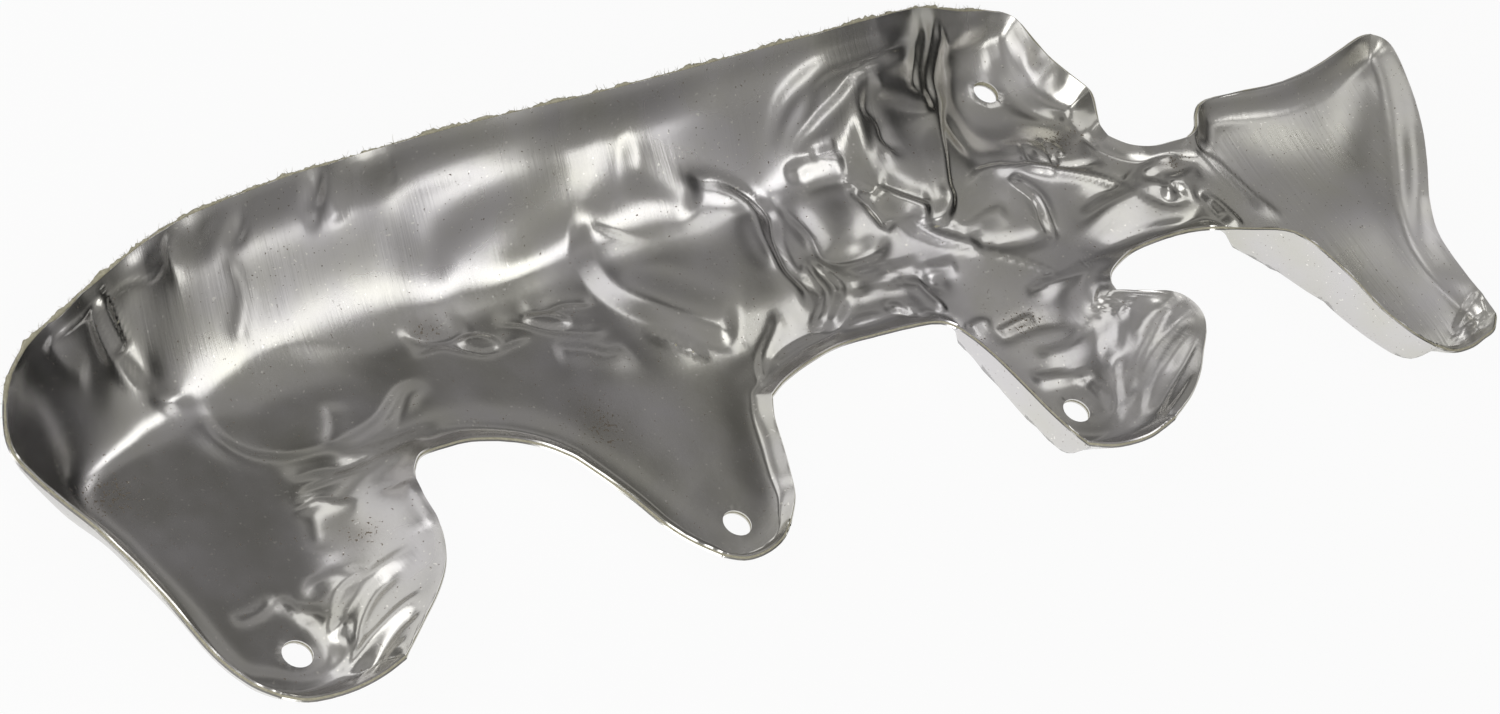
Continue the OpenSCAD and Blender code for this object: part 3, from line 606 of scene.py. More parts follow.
def crumpled_ground(r):
    """The round bulge and the crumpled ground left of the rear tab."""
    r.spot(193.5, 70, 11.5, 12, 0, 0.6, 0.9)
    r.line([(182, 78), (184.5, 68), (183, 60), (188, 57.5), (198, 58), (205, 62)], 1.6, -0.7)
    r.line([(203, 78), (205.5, 71), (206, 63)], 1.4, -0.9)
    r.line([(184, 55), (190, 51), (200, 52), (209, 52)], 0.9, 0.6)
    r.line([(182, 47), (190, 48), (197, 47), (203, 49)], 0.9, 0.6)
    r.line([(190, 41), (193, 41.5), (197, 38), (201, 34)], 0.9, 0.9)
    r.line([(203, 48), (204, 42), (205.5, 36)], 1.3, 0.9)
    r.spot(196.5, 38, 3.5, 1.6, -40, -1.3)
    r.line([(204, 49), (212, 49.8), (218, 48.5)], 0.8, 0.8, "left")
    r.spot(208, 45.5, 3, 3, 0, -0.9)
    r.line([(188, 86), (196, 87.5), (207, 86)], 1.6, 1.1)
    r.line([(199, 91), (204, 92), (208, 92)], 1.0, 0.9)
    r.line([(194, 89), (199, 95), (207, 99.5), (217, 104), (226, 109), (237, 112),
            (250, 114)], 1.3, 1.3, "left")
    r.spot(206, 104, 6.5, 2.2, 45, 0.6)
    r.line([(190, 95), (199, 105), (210, 111.5), (222, 115.5), (236, 116.5), (250, 118)], 2.0, 1.0)
    r.spot(217, 93, 2.6, 7.5, -14, 0.9)
    r.spot(221, 85, 3.2, 2.4, 0, 0.6)
    r.line([(222, 102), (224, 95), (222, 89), (224, 84)], 1.2, -0.8)
    r.line([(228, 107), (236, 101), (242, 95.5)], 2.2, 1.3)
    r.line([(203, 81), (207, 77.5), (211, 74.5)], 1.0, -1.0, "sharp")
    r.line([(210.5, 76), (216, 71.5), (222, 66)], 1.3, 1.0)
    r.line([(213, 78), (219, 73), (224, 68.5)], 1.2, -0.9)
    r.line([(210, 62), (214, 62.5), (219, 57.5), (229, 52)], 2.2, 0.7, "bead")
    r.line([(212, 66), (219, 59.5), (226, 54.5), (233, 50.5), (241, 49), (249, 50), (252, 56), (252.5, 62),
            (250, 69)], 1.2, -1.0)
    r.line([(214, 64.5), (220, 62), (226, 64), (230, 68), (232, 72)], 1.0, 1.1, "right")
    r.line([(224, 60), (229, 58.3), (236, 60), (243, 61)], 1.1, 0.7)
    r.line([(229, 50), (236, 45), (244, 37.5)], 0.7, 0.8, "sharp")
    r.line([(246, 97), (241, 90), (237, 82), (233, 75), (228, 66)], 1.2, 1.1, "left")
    r.spot(243.5, 86, 2.4, 8, -8, -0.6)
    r.line([(244, 95), (247, 103), (254, 112), (263, 121)], 1.5, 0.9)
    r.line([(240, 98), (243.5, 106), (250, 114), (257, 121)], 1.3, -0.6)
    r.line([(236, 70), (245, 73.5), (255, 72.3), (265, 68), (275, 62.5), (282, 57),
            (290, 51)], 0.8, 1.0, "left")
    r.line([(240, 74.5), (250, 75), (260, 71.5), (270, 67), (280, 66)], 0.8, -0.6)
    r.line([(249.5, 69), (252.5, 64), (253.5, 60), (251, 54), (249, 51)], 1.0, 1.1, "right")


def lobe_3_creases(r):
    """Waves at the third lobe's neck, then creases that fan out over its flare."""
    r.line([(208, 30), (213, 31.2), (216, 30)], 0.9, 0.6)
    r.line([(216, 27), (222, 28), (229, 29)], 0.9, 0.6)
    r.line([(231, 34.5), (240, 36.5), (250, 37), (262, 39)], 1.0, 0.9, "left")
    r.line([(213, 24), (228, 25.5), (240, 23)], 1.3, -0.5)
    r.line([(222, 18), (232, 17.5), (240, 20), (247, 25)], 1.2, 0.6)
    r.line([(216, 12.5), (224, 10.5), (234, 8.5)], 1.0, 1.0, "left")
    r.spot(228, 5, 4, 4.5, 0, -0.8)
    r.line([(232, 7), (233.5, 1), (230, -4)], 1.1, 0.7)
    for pts, w, h in [
            ([(229, -9), (235, -3), (240, 4), (243.5, 11), (248, 18), (252, 25), (257, 32)], 1.2, 1.3),
            ([(239, 10), (245, 19), (249, 26), (254, 31.5)], 0.9, 1.0),
            ([(241, 6), (248, 14), (253, 21), (258, 27)], 1.2, -0.9),
            ([(236, -6), (242, 0.5), (250, 8.5), (259, 14), (268, 19.5), (275, 22.5)], 1.0, 1.0),
            ([(239, -3), (247, 4), (257, 10.5), (268, 15.5), (276, 18.5)], 0.9, -0.7),
            ([(240, -7), (248, 0.5), (258, 7.5), (267, 12), (276, 16)], 0.9, 0.8),
            ([(243, -8), (252, -2), (262, 4), (270, 9)], 0.8, -0.6),
            ([(246, -9), (254, -5), (262, -0.5)], 0.9, 0.5),
            ([(244, 12), (250, 19), (257, 24), (264, 27)], 0.9, 0.7),
            ([(252, 14), (260, 18.5), (268, 23)], 0.8, -0.5),
            ([(254, 3.5), (262, 8), (271, 12.5)], 0.6, 0.5)]:
        r.line(pts, w, h, "left" if h > 0 else "round")


def tab_creases(r):
    """Creases and soft dents of the rear tab."""
    r.line([(258, 79), (258.5, 73), (262, 70.5), (266, 68.5)], 1.0, 0.9)
    r.spot(262.5, 76, 2.4, 3.4, 10, 0.9)
    r.line([(264, 77.5), (266.5, 77), (266.8, 73), (266, 69)], 0.7, -1.0, "sharp")
    r.line([(268, 77), (270, 73.5), (269.8, 71)], 0.9, 0.9)
    r.line([(278.5, 112), (277.5, 105), (277, 98), (279, 93), (282.5, 91)], 1.7, -0.4)
    r.line([(280, 111), (281, 102), (282, 96)], 1.8, 0.3)
    r.line([(250, 104.5), (256, 110), (265, 111.5), (274, 110.5)], 1.7, -0.4)
    r.line([(258, 113), (266, 115), (274, 116), (280, 114.5)], 1.7, 0.4)
    r.spot(271.5, 110.5, 3.2, 1.8, -30, 0.3)


def bridge_creases(r):
    """The bridge to the wing."""
    r.tilt(281, 48, 21, 8, 8, 0.0, 0.16)
    r.line([(262, 53.5), (270, 56), (280, 56.5), (286, 52), (291, 49), (299, 49)], 1.3, -0.7)
    r.line([(281, 57.5), (288, 59.5), (295, 62), (303, 62)], 1.1, 0.9)
    r.line([(290, 50), (292.5, 54), (298, 55.5), (306, 57)], 0.9, 0.9, "left")
    r.line([(287, 58), (291, 56.5), (294, 52.5), (297, 50)], 0.8, -0.8)
    r.line([(301, 49.5), (304, 46), (305.5, 40), (306, 36)], 1.2, 0.9, "left")
    r.line([(299, 51), (301, 46), (301.5, 40)], 1.2, -0.7)
    r.line([(312, 69), (311, 64), (313, 57), (315, 50), (317, 42), (320.5, 35.5)], 0.9, 1.0, "left")
    r.line([(310, 66), (310, 61), (311.5, 55), (313, 48), (314.5, 40)], 1.0, -0.6)


def wing_creases(r):
    """The wing, and creases at the foot's tip."""
    r.line([(384, 57), (380, 48.5), (374, 40), (366, 30), (359, 20.5), (355.5, 12), (354.5, 4),
            (355.5, -2)], 2.2, 0.7)
    r.line([(344, -12), (351, -8), (357, -5), (363, -4)], 1.3, 1.0)
    r.line([(341, -13.8), (350, -10.8), (362, -8.3)], 0.7, 0.8, "sharp")
    r.line([(343, -12.8), (351, -9.5), (362, -6.5)], 0.6, -0.6)
    r.line([(342, -14.8), (352, -12.3), (361, -10.8)], 0.6, 0.6, "sharp")
    r.spot(340, 28, 14, 10, 20, 0.5)
    r.spot(330, 55, 12, 14, 0, -0.4)


def relief(x, y, near):
    r = Relief(x, y)
    for form in (left_end, back_edge_dents, dish_waves, back_wall_ridges, lobe_1_creases,
                 platform_beads, crumpled_ground, lobe_3_creases, tab_creases,
                 bridge_creases, wing_creases):
        form(r)
    # loose swells that a thin pressing keeps, as height, pitch and seed
    swells = [(0.5, 42, 2), (0.35, 26, 3), (0.10, 11, 4), (0.025, 4.5, 5)]
    loose = sum(h * noise(x, y, pitch, seed) for h, pitch, seed in swells)
    return r.z * ramp(near, -0.6, 2.2) + loose * ramp(near, 0, 14)


# Layers
def directions(net, p):
    """Unit directions across the sheet at each point, from the areas of the cells round it."""
    a, b, c, d = p[:-1, :-1], p[1:, :-1], p[1:, 1:], p[:-1, 1:]
    n = np.cross(c - a, d - b)
    n[~net.cell] = 0
    total = np.zeros(p.shape)
    for i in (0, 1):
        for j in (0, 1):
            total[i:i + net.ni, j:j + net.nj] += n
    length = np.linalg.norm(total, axis=-1, keepdims=True)
    with np.errstate(all="ignore"):
        return total / length


def mat_half(p):
    return mix(mat_t, mat_edge_t, ramp(p[..., 1], 60, tab_y + 13)) / 2


def middle(net):
    """The middle of the sandwich: the pressing, then its small forms."""
    m = net.point
    x, y = net.plan[m][:, 0], net.plan[m][:, 1]
    z, near = soft_height(x, y)
    p = np.full(net.plan.shape, np.nan)
    p[m] = np.stack([x, y, z], -1)
    n = directions(net, p)
    r = np.zeros(m.shape)
    calm = np.ones(len(x))
    for b in bolts:
        calm *= ramp(np.hypot(x - b[0], y - b[1]), bolt_r + 0.8, bolt_r + 10)
    r[m] = relief(x, y, near) * calm
    p += n * r[..., None]
    return p, directions(net, p)


# share, centre, half sizes and turn: the back wall's patches, the lobes' flares and the light band
brushed_spots = [(0.7, 113, 96, 9, 12, 10), (0.7, 199, 97, 12, 8, 0), (0.8, 258, 8, 22, 12, 40),
                 (0.8, 30, 12, 14, 12, 45), (0.8, 228, 24, 14, 8, 0), (0.5, 40, 84, 50, 15, 8)]


def brushed(x, y, z):
    """How strongly the sheet shows its brushed grain: most along the back wall."""
    band = ramp(z, 1.5, 9) * ramp(x, -14, 4) * ramp(x, 262, 236) * ramp(y, 60, 72)
    wing = ramp(x, 300, 320)
    tab = ramp(x, 256, 268) * ramp(x, 300, 290) * ramp(y, 88, 98)
    spots = sum(share * np.exp(-turned(x - a, y - b, rx, ry, turn_deg) ** 2)
                for share, a, b, rx, ry, turn_deg in brushed_spots)
    return np.clip(band * (0.55 + 0.25 * noise(x, y, 21, 11)) + spots + wing + 0.9 * tab, 0, 1.3)


stains = seen([(73, 70), (100, 33), (30, 24), (225, 28), (272, 76), (-20, 50), (300, 60)])
stain_sizes = [(5, 3), (6, 8), (4, 4), (9, 4), (8, 6), (8, 6), (6, 3)]


def stained(x, y):
    return np.clip(sum(np.exp(-turned(x - c[0], y - c[1], r[0], r[1], 0) ** 2)
                       for c, r in zip(stains, stain_sizes)), 0, 1)


def ring_mesh(outer, inner):
    """Triangles between two closed rings of points, given as (index, angle) in order of angle."""
    tris, a, b, na, nb = [], 0, 0, len(outer), len(inner)
    while a < na or b < nb:
        next_a = outer[(a + 1) % na][1] + 2 * math.pi * ((a + 1) // na)
        next_b = inner[(b + 1) % nb][1] + 2 * math.pi * ((b + 1) // nb)
        if b >= nb or (a < na and next_a <= next_b):
            tris.append((outer[a % na][0], outer[(a + 1) % na][0], inner[b % nb][0]))
            a += 1
        else:
            tris.append((outer[a % na][0], inner[(b + 1) % nb][0], inner[b % nb][0]))
            b += 1
    return tris


def layer_faces(net, cells, number, count):
    """Quads of a layer: its cells' lower and upper faces, and walls where sheet is on one side only."""
    ci, cj = np.nonzero(cells)
    q = [number[ci, cj], number[ci + 1, cj], number[ci + 1, cj + 1], number[ci, cj + 1]]
    faces = [np.stack([q[3], q[2], q[1], q[0]], -1), np.stack([v + count for v in q], -1)]
    pad = np.zeros((net.ni + 2, net.nj + 2), bool)
    pad[1:-1, 1:-1] = net.cell
    for di, dj, a, b in ((-1, 0, 3, 0), (1, 0, 1, 2), (0, -1, 0, 1), (0, 1, 2, 3)):
        wi, wj = np.nonzero(net.cell & ~pad[1 + di:net.ni + 1 + di, 1 + dj:net.nj + 1 + dj])
        w = [number[wi, wj], number[wi + 1, wj], number[wi + 1, wj + 1], number[wi, wj + 1]]
        faces.append(np.stack([w[a], w[b], w[b] + count, w[a] + count], -1))
    return np.concatenate(faces).tolist()


def points_round(hole):
    """The net's points round the cells that a hole leaves out."""
    cells = set(zip(*(k.tolist() for k in np.nonzero(hole))))
    edge = set()
    for i, j in cells:
        for di, dj, a, c in cell_sides:
            if (i + di, j + dj) not in cells:
                edge |= {(i + a[0], j + a[1]), (i + c[0], j + c[1])}
    return edge


# sides of a bolt hole, the part of the net that it leaves out, and how level its rim is, from 0 to 1
hole_sides, hole_margin, hole_level = 48, 1.3, 0.7
hole_turns = np.linspace(-math.pi, math.pi, hole_sides, endpoint=False) + math.pi / hole_sides


def hole_ring(flat, loop, bolt):
    """A hole's ring of points in one face, and the points of the loop round it as (number, angle)."""
    ang = np.arctan2(flat[loop, 1] - bolt[1], flat[loop, 0] - bolt[0])
    order = np.argsort(ang)
    thrice = np.concatenate([ang[order] + lap * 2 * math.pi for lap in (-1, 0, 1)])
    z = np.interp(hole_turns, thrice, np.tile(flat[loop[order], 2], 3))
    ring = np.stack([bolt[0] + bolt_r * np.cos(hole_turns), bolt[1] + bolt_r * np.sin(hole_turns),
                     mix(z, z.mean(), hole_level)], -1)
    return ring, [(int(loop[k]), float(ang[k])) for k in order]


def smooth_object(name, verts, faces, mend):
    """An object from points in millimetres, after mend has been at its bmesh."""
    mesh = bpy.data.meshes.new(name)
    mesh.from_pydata(((np.array(verts) + hole_1) / 1000).tolist(), [], faces)
    mesh.validate(clean_customdata=False)
    bm = bmesh.new()
    bm.from_mesh(mesh)
    mend(bm)
    bm.to_mesh(mesh)
    bm.free()
    mesh.shade_smooth()
    ob = bpy.data.objects.new(name, mesh)
    bpy.context.scene.collection.objects.link(ob)
    return ob


def drop_loose(bm):
    bmesh.ops.delete(bm, geom=[v for v in bm.verts if not v.link_faces], context="VERTS")


def turn_outwards(bm):
    bmesh.ops.recalc_face_normals(bm, faces=bm.faces)


def sheet_mesh(name, net, low, high):
    """One layer as a closed mesh, from its lower and upper points, with the bolt holes through it."""
    count = int(net.point.sum())
    number = np.full(net.point.shape, -1)
    number[net.point] = np.arange(count)
    centre = 0.25 * (high[:-1, :-1] + high[1:, :-1] + high[1:, 1:] + high[:-1, 1:])
    holes = [net.cell & (np.hypot(centre[..., 0] - b[0], centre[..., 1] - b[1]) < bolt_r + hole_margin)
             for b in bolts]
    quads = layer_faces(net, net.cell & ~np.any(holes, axis=0), number, count)
    verts, tris, total = [low[net.point], high[net.point]], [], 2 * count
    for b, hole in zip(bolts, holes):
        loop = np.array([number[e] for e in points_round(hole)])
        for flat, base in ((verts[0], 0), (verts[1], count)):
            ring, outer = hole_ring(flat, loop, b)
            verts.append(ring)
            found = ring_mesh([(k + base, a) for k, a in outer],
                              [(total + k, float(a)) for k, a in enumerate(hole_turns)])
            tris += found if base else [t[::-1] for t in found]
            total += hole_sides
        first = total - 2 * hole_sides
        for k in range(hole_sides):
            a, c = first + k, first + (k + 1) % hole_sides
            tris += [(a, a + hole_sides, c + hole_sides), (a, c + hole_sides, c)]
    ob = smooth_object(name, np.concatenate(verts), quads + tris, drop_loose)
    mesh = ob.data
    mesh.set_sharp_from_angle(angle=math.radians(55))
    places = np.empty(len(mesh.vertices) * 3)
    mesh.vertices.foreach_get("co", places)
    places = places.reshape(-1, 3) * 1000 - hole_1
    for label, values in (("brushed", brushed(*places.T)), ("stain", stained(*places.T[:2]))):
        mesh.attributes.new(label, "FLOAT", "POINT").data.foreach_set("value", values)
    return ob


def layer_points(p, n, side):
    half = mat_half(p)
    off = {0: -half - sheet_t, 1: -half, 2: half, 3: half + sheet_t}[side]
    return p + n * off[..., None]


fine = Net(8, 7)
coarse = Net(5, 4)
p, n = middle(fine)
inner_sheet = sheet_mesh("inner_sheet", fine, layer_points(p, n, 2), layer_points(p, n, 3))
p, n = middle(coarse)
mat = sheet_mesh("mat", coarse, layer_points(p, n, 1), layer_points(p, n, 2))
outer_sheet = sheet_mesh("outer_sheet", coarse, layer_points(p, n, 0), layer_points(p, n, 1))


# the fringe starts at this row of the net on the left end, and stops at this column of the back edge
fringe_row, fringe_col, fringe_step, fibres = 10.2, 41.5, 0.45, 420


def rim_path(p, n, places):
    """Points, directions across the sheet and outward directions along the rim, at even steps."""
    q = np.array([p[k] for k in places])
    m = np.array([n[k] for k in places])
    run = np.concatenate([[0], np.cumsum(np.linalg.norm(np.diff(q, axis=0), axis=1))])
    at = np.arange(0, run[-1], fringe_step)
    q, m = [np.stack([np.interp(at, run, v[:, k]) for k in range(3)], -1) for v in (q, m)]
    m /= np.linalg.norm(m, axis=1)[:, None]
    ahead = np.gradient(q, axis=0)
    out = np.cross(m, ahead)
    return q, m, out / np.linalg.norm(out, axis=1)[:, None]


def wobble(count, length, seed):
    """Random numbers from -1 to 1 along a line, smooth over the given number of steps."""
    v = np.random.default_rng(seed).uniform(-1, 1, int(count / length) + 4)
    return np.interp(np.arange(count) / length, np.arange(len(v)), v)


def cord(q, m, out, half, wide):
    """The fringe's lumpy cord along q: its points, in rings, and its faces."""
    count, sides = len(q), 8
    rings = []
    for k in range(sides):
        a = 2 * math.pi * k / sides
        rough = 1 + 0.35 * wobble(count, 1.6, 30 + k) + 0.15 * wobble(count, 6, 50 + k)
        o = np.where(math.cos(a) > 0, np.maximum(wide, 0.15) * rough, 0.5)
        t = half * np.where(math.cos(a) > 0.1, 1.25 * rough, 0.8)
        rings.append(q + out * (math.cos(a) * o - 0.15)[:, None] + m * (math.sin(a) * t)[:, None])
    faces = []
    for k in range(count - 1):
        for j in range(sides):
            j2 = (j + 1) % sides
            faces.append((k * sides + j, k * sides + j2, (k + 1) * sides + j2, (k + 1) * sides + j))
    faces.append(tuple(range(sides - 1, -1, -1)))
    faces.append(tuple((count - 1) * sides + j for j in range(sides)))
    return np.stack(rings, 1).reshape(-1, 3).tolist(), faces


def loose_fibre(base, way, bend, length, radius, first):
    """A thin three-sided fibre that bends and tapers: its points, and its faces numbered from first."""
    steps, verts, faces = 4, [], []
    side = np.cross(way, bend + 0.01)
    side /= np.linalg.norm(side)
    up = np.cross(side, way)
    for step in range(steps):
        f = step / (steps - 1)
        c = base + way * length * f + bend * length * 0.4 * f * f
        r = radius * (1 - 0.8 * f)
        for a in (0, 2 * math.pi / 3, 4 * math.pi / 3):
            verts.append((c + r * (side * math.cos(a) + up * math.sin(a))).tolist())
    for step in range(steps - 1):
        for j in range(3):
            a, b = first + step * 3 + j, first + step * 3 + (j + 1) % 3
            faces.append((a, b, b + 3, a + 3))
    last = first + 3 * steps - 1
    faces += [(first + 2, first + 1, first), (last - 2, last - 1, last)]
    return verts, faces


def fringe(name, net, p, n):
    """The mat's frayed edge along the back and round the left end: a lumpy cord with loose fibres."""
    places = [(0, j) for j in range(int(fringe_row * net.sj), net.nj)]
    places += [(i, net.nj) for i in range(0, int(fringe_col * net.si) + 1)]
    q, m, out = rim_path(p, n, places)
    count = len(q)
    if np.mean(out[count // 2, 1]) < 0:
        out = -out
    half = mat_half(q)
    ends = ramp(np.arange(count), 0, 20) * ramp(np.arange(count), count - 1, count - 21)
    wide = (0.55 + 0.55 * np.clip(wobble(count, 9, 21), -0.6, 1) + 0.22 * wobble(count, 2, 22))
    wide *= 0.25 + 0.75 * ends
    verts, faces = cord(q, m, out, half, wide)
    for _ in range(fibres):
        k = int(rng.integers(4, count - 4))
        base = q[k] + out[k] * wide[k] * 0.5 + m[k] * half[k] * rng.uniform(-0.9, 0.9)
        way = (out[k] * rng.uniform(0.5, 1) + m[k] * rng.uniform(-0.6, 0.6)
               + (q[k + 1] - q[k]) * rng.uniform(-3, 3))
        way /= np.linalg.norm(way)
        bend = rng.normal(size=3) * 0.6
        length, radius = rng.uniform(0.5, 1.5), rng.uniform(0.04, 0.09)
        v, f = loose_fibre(base, way, bend, length, radius, len(verts))
        verts += v
        faces += f
    return smooth_object(name, verts, faces, turn_outwards)


mat_fringe = fringe("mat_fringe", coarse, p, n)


# Materials
def new_material(name):
    m = bpy.data.materials.new(name)
    m.use_nodes = True
    nt = m.node_tree
    nt.nodes.clear()
    out = nt.nodes.new("ShaderNodeOutputMaterial")
    bsdf = nt.nodes.new("ShaderNodeBsdfPrincipled")
    nt.links.new(bsdf.outputs[0], out.inputs[0])
    return m, nt, bsdf


def node(nt, kind, inputs=None, **props):
    nd = nt.nodes.new(kind)
    for k, v in props.items():
        setattr(nd, k, v)
    for k, v in (inputs or {}).items():
        if isinstance(v, bpy.types.NodeSocket):
            nt.links.new(v, nd.inputs[k])
        else:
            nd.inputs[k].default_value = v
    return nd


def spread(nt, value, low, high, to_low, to_high, kind="LINEAR"):
    inputs = {"Value": value, "From Min": low, "From Max": high, "To Min": to_low, "To Max": to_high}
    return node(nt, "ShaderNodeMapRange", inputs, interpolation_type=kind).outputs["Result"]


def noise_at(nt, vector, scale, detail):
    return node(nt, "ShaderNodeTexNoise", {"Vector": vector, "Scale": scale, "Detail": detail}).outputs["Fac"]


def maths(nt, kind, a, b):
    return node(nt, "ShaderNodeMath", {0: a, 1: b}, operation=kind).outputs[0]


def blend(nt, share, a, b):
    mixed = node(nt, "ShaderNodeMix", data_type="RGBA")
    for socket, v in ((mixed.inputs[0], share), (mixed.inputs[6], a), (mixed.inputs[7], b)):
        if isinstance(v, bpy.types.NodeSocket):
            nt.links.new(v, socket)
        else:
            socket.default_value = v
    return mixed.outputs[2]


def bright_metal():
    m, nt, bsdf = new_material("bright_sheet")
    place = node(nt, "ShaderNodeTexCoord").outputs["Object"]
    brush = node(nt, "ShaderNodeAttribute", attribute_name="brushed").outputs["Fac"]
    stain = node(nt, "ShaderNodeAttribute", attribute_name="stain").outputs["Fac"]

    stretched = node(nt, "ShaderNodeMapping", {"Vector": place, "Scale": (1.0, 0.035, 0.035)}).outputs[0]
    wide, small = noise_at(nt, place, 38.0, 3.0), noise_at(nt, place, 600.0, 3.0)
    streaks, bundles = noise_at(nt, stretched, 1900.0, 2.0), noise_at(nt, stretched, 420.0, 3.0)
    tint = blend(nt, spread(nt, wide, 0.35, 0.65, 0.0, 1.0), (0.665, 0.655, 0.60, 1), (0.70, 0.685, 0.69, 1))
    tint = blend(nt, maths(nt, "MULTIPLY", stain, 0.3), tint, (0.38, 0.35, 0.30, 1))
    # dust: dark brown specks and a few bright ones, thicker in the stains
    dust = noise_at(nt, place, 1500.0, 1.0)
    limit = spread(nt, stain, 0.0, 1.0, 0.745, 0.60)
    specks = maths(nt, "GREATER_THAN", dust, limit)
    tint = blend(nt, maths(nt, "MULTIPLY", specks, 0.75), tint, (0.16, 0.12, 0.075, 1))
    bright = maths(nt, "GREATER_THAN", noise_at(nt, place, 1150.0, 0.0), 0.80)
    tint = blend(nt, maths(nt, "MULTIPLY", bright, 0.8), tint, (0.93, 0.91, 0.86, 1))
    rough = maths(nt, "ADD", spread(nt, wide, 0.3, 0.7, 0.15, 0.23), maths(nt, "MULTIPLY", brush, 0.11))
    rough = maths(nt, "ADD", rough, maths(nt, "MULTIPLY", specks, 0.3))
    height_n = maths(nt, "ADD", maths(nt, "MULTIPLY", small, 0.10),
                     maths(nt, "MULTIPLY", brush, maths(nt, "ADD", spread(nt, streaks, 0, 1, -0.22, 0.22),
                                                        spread(nt, bundles, 0, 1, -0.45, 0.45))))
    bump = node(nt, "ShaderNodeBump", {"Height": height_n, "Strength": 0.7, "Distance": 0.0001})
    nt.links.new(tint, bsdf.inputs["Base Color"])
    nt.links.new(rough, bsdf.inputs["Roughness"])
    nt.links.new(bump.outputs[0], bsdf.inputs["Normal"])
    bsdf.inputs["Metallic"].default_value = 1.0
    return m


def fibre():
    m, nt, bsdf = new_material("fibre_mat")
    place = node(nt, "ShaderNodeNewGeometry").outputs["Position"]
    tex = noise_at(nt, place, 1400.0, 5.0)
    ramp_c = node(nt, "ShaderNodeValToRGB", {"Fac": tex})
    ramp_c.color_ramp.elements[0].color = (0.30, 0.275, 0.18, 1)
    ramp_c.color_ramp.elements[1].color = (0.72, 0.69, 0.54, 1)
    bump = node(nt, "ShaderNodeBump", {"Height": tex, "Strength": 0.6, "Distance": 0.0005})
    nt.links.new(ramp_c.outputs[0], bsdf.inputs["Base Color"])
    nt.links.new(bump.outputs[0], bsdf.inputs["Normal"])
    bsdf.inputs["Roughness"].default_value = 0.9
    return m


metal, khaki = bright_metal(), fibre()
for ob, m, cad, slot in (
        (inner_sheet, metal, "inner_skin", "bright_sheet"), (mat, khaki, "fibre_mat", "mat"),
        (mat_fringe, khaki, "fibre_mat", "mat"), (outer_sheet, metal, "outer_skin", "bright_sheet")):
    ob.data.materials.append(m)
    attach(ob, "root")
    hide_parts(cad)

# Stage
bpy.ops.mesh.primitive_plane_add(size=12, location=(0, 0, -0.0005))
floor = bpy.context.object
floor.name = "floor"
fm, nt, bsdf = new_material("floor")
bsdf.inputs["Base Color"].default_value = (0.86, 0.86, 0.86, 1)
bsdf.inputs["Roughness"].default_value = 0.9
white = node(nt, "ShaderNodeEmission", {"Color": (1, 1, 1, 1), "Strength": 1.0})
path = node(nt, "ShaderNodeLightPath")
reach_m = node(nt, "ShaderNodeVectorMath", {0: node(nt, "ShaderNodeNewGeometry").outputs["Position"],
                                            1: (-0.03, -0.17, 0)}, operation="DISTANCE").outputs["Value"]
glossy = maths(nt, "MULTIPLY", path.outputs["Is Glossy Ray"], spread(nt, reach_m, 0.2, 0.33, 1.0, 0.1))
share = maths(nt, "MULTIPLY", maths(nt, "MAXIMUM", path.outputs["Is Camera Ray"], glossy), 0.93)
mixer = node(nt, "ShaderNodeMixShader", {0: share, 1: bsdf.outputs[0], 2: white.outputs[0]})
nt.links.new(mixer.outputs[0], nt.nodes["Material Output"].inputs[0])
floor.data.materials.append(fm)

world = bpy.data.worlds.new("studio")
bpy.context.scene.world = world
world.use_nodes = True
wt = world.node_tree
way = node(wt, "ShaderNodeTexCoord").outputs["Generated"]


def facing(towards):
    """How nearly the room's direction is the given one, up to 1."""
    return node(wt, "ShaderNodeVectorMath", {0: way, 1: towards}, operation="DOT_PRODUCT").outputs["Value"]


# the room is dimmer in one place overhead, beyond the lamps
level = node(wt, "ShaderNodeValToRGB", {"Fac": facing((0.463, 0.432, 0.774))})
level.color_ramp.interpolation = "EASE"
level.color_ramp.elements[0].position, level.color_ramp.elements[0].color = 0.985, (0.27, 0.265, 0.26, 1)
level.color_ramp.elements[1].position, level.color_ramp.elements[1].color = 0.9985, (0.075, 0.073, 0.071, 1)
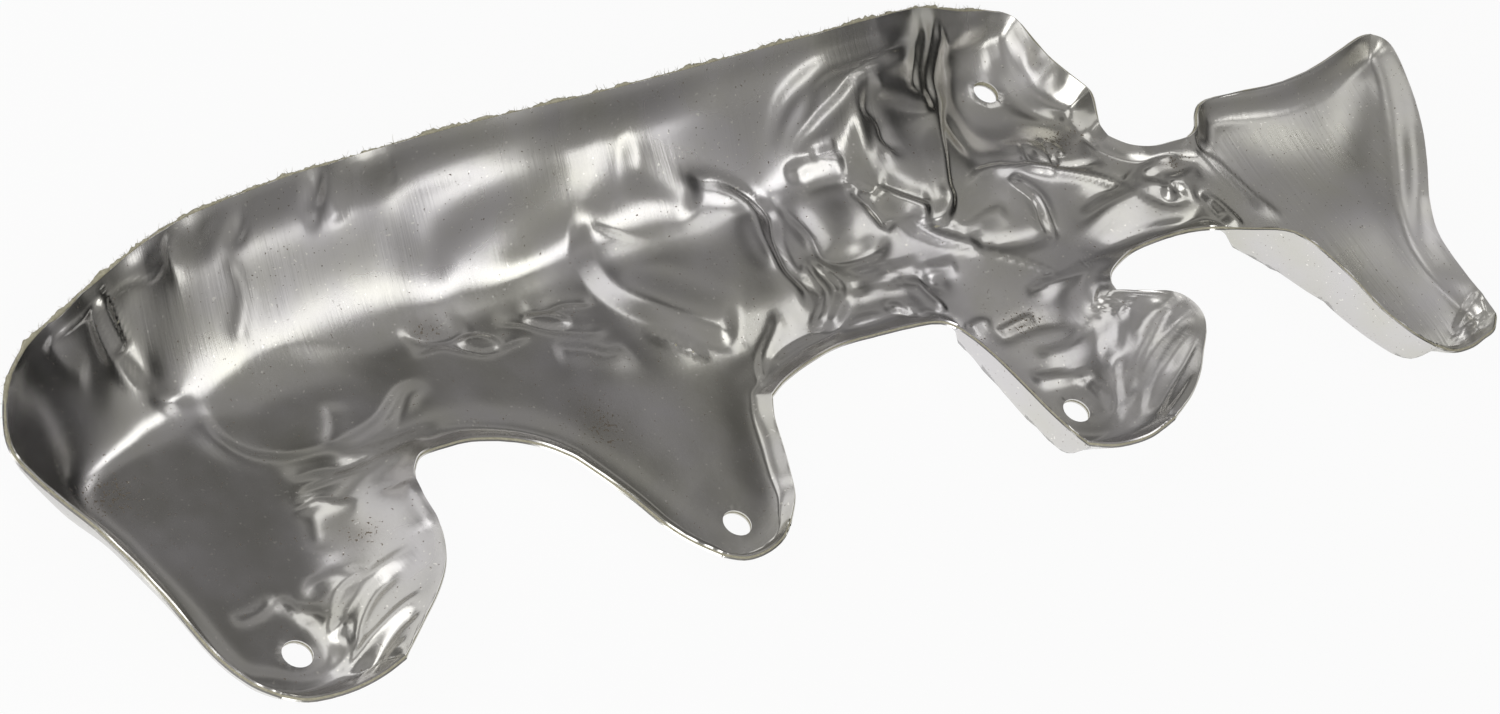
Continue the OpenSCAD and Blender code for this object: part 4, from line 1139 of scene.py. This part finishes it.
# it is uneven, dark to the right, lighter in one place lower down, and darker towards the horizon
dark = spread(wt, facing((0.99, 0.02, 0.02)), 0.80, 0.95, 1.0, 0.1, "SMOOTHSTEP")
pale = spread(wt, facing((0.643, 0.382, 0.663)), 0.975, 0.995, 1.0, 1.5, "SMOOTHSTEP")
up = node(wt, "ShaderNodeSeparateXYZ", {0: way}).outputs["Z"]
low = spread(wt, up, 0.1, 0.55, 0.45, 1.0, "SMOOTHSTEP")
shade = spread(wt, noise_at(wt, way, 2.3, 1.0), 0.35, 0.65, 0.7, 1.35)
for change in (dark, pale, low):
    shade = maths(wt, "MULTIPLY", shade, change)
lit = node(wt, "ShaderNodeVectorMath", {0: level.outputs[0], 3: shade}, operation="SCALE")
ground = wt.nodes["Background"]
wt.links.new(lit.outputs[0], ground.inputs["Color"])
ground.inputs["Strength"].default_value = 1.0
backdrop = node(wt, "ShaderNodeBackground", {"Color": (1, 1, 1, 1), "Strength": 1.0})
ray = node(wt, "ShaderNodeLightPath")
both = node(wt, "ShaderNodeMixShader",
            {0: ray.outputs["Is Camera Ray"], 1: ground.outputs[0], 2: backdrop.outputs[0]})
wt.links.new(both.outputs[0], wt.nodes["World Output"].inputs[0])


def soft_light(name, towards, size, radiance, distance=1.5):
    """A soft panel of the given width and height in metres that faces the object."""
    way = Vector(towards).normalized()
    data = bpy.data.lights.new(name, "AREA")
    data.shape, data.size, data.size_y = "RECTANGLE", size[0], size[1]
    data.energy = radiance * math.pi * size[0] * size[1]
    ob = bpy.data.objects.new(name, data)
    bpy.context.scene.collection.objects.link(ob)
    ob.location = way * distance
    ob.rotation_mode = "QUATERNION"
    ob.rotation_quaternion = way.to_track_quat("Z", "Y")


soft_light("beside_camera", (-0.62, -0.60, 0.60), (0.9, 0.9), 2.5)
soft_light("front_high", (0.50, -0.32, 0.80), (0.40, 0.22), 1.6, 0.8)
soft_light("overhead", (-0.06, 0.42, 0.90), (0.75, 0.5), 0.8)
soft_light("left_high", (-0.67, 0.30, 0.68), (0.28, 0.24), 1.5, 0.56)
soft_light("back_left", (-0.25, 0.90, 0.45), (1.0, 0.7), 0.5)
soft_light("right_high", (0.643, 0.142, 0.75), (0.4, 0.34), 0.95)

cam_data = bpy.data.cameras.new("camera")
cam_data.sensor_width = sensor_mm
cam_data.lens = focal_px / photo_width * sensor_mm
cam = bpy.data.objects.new("camera", cam_data)
bpy.context.scene.collection.objects.link(cam)
where = Matrix.Identity(4)
for a in range(3):
    for b in range(3):
        where[b][a] = turn[a][b]
    where[a][3] = (eye[a] + hole_1[a]) / 1000
cam.matrix_world = where
bpy.context.scene.camera = cam
bpy.context.scene.view_settings.view_transform = "Standard"
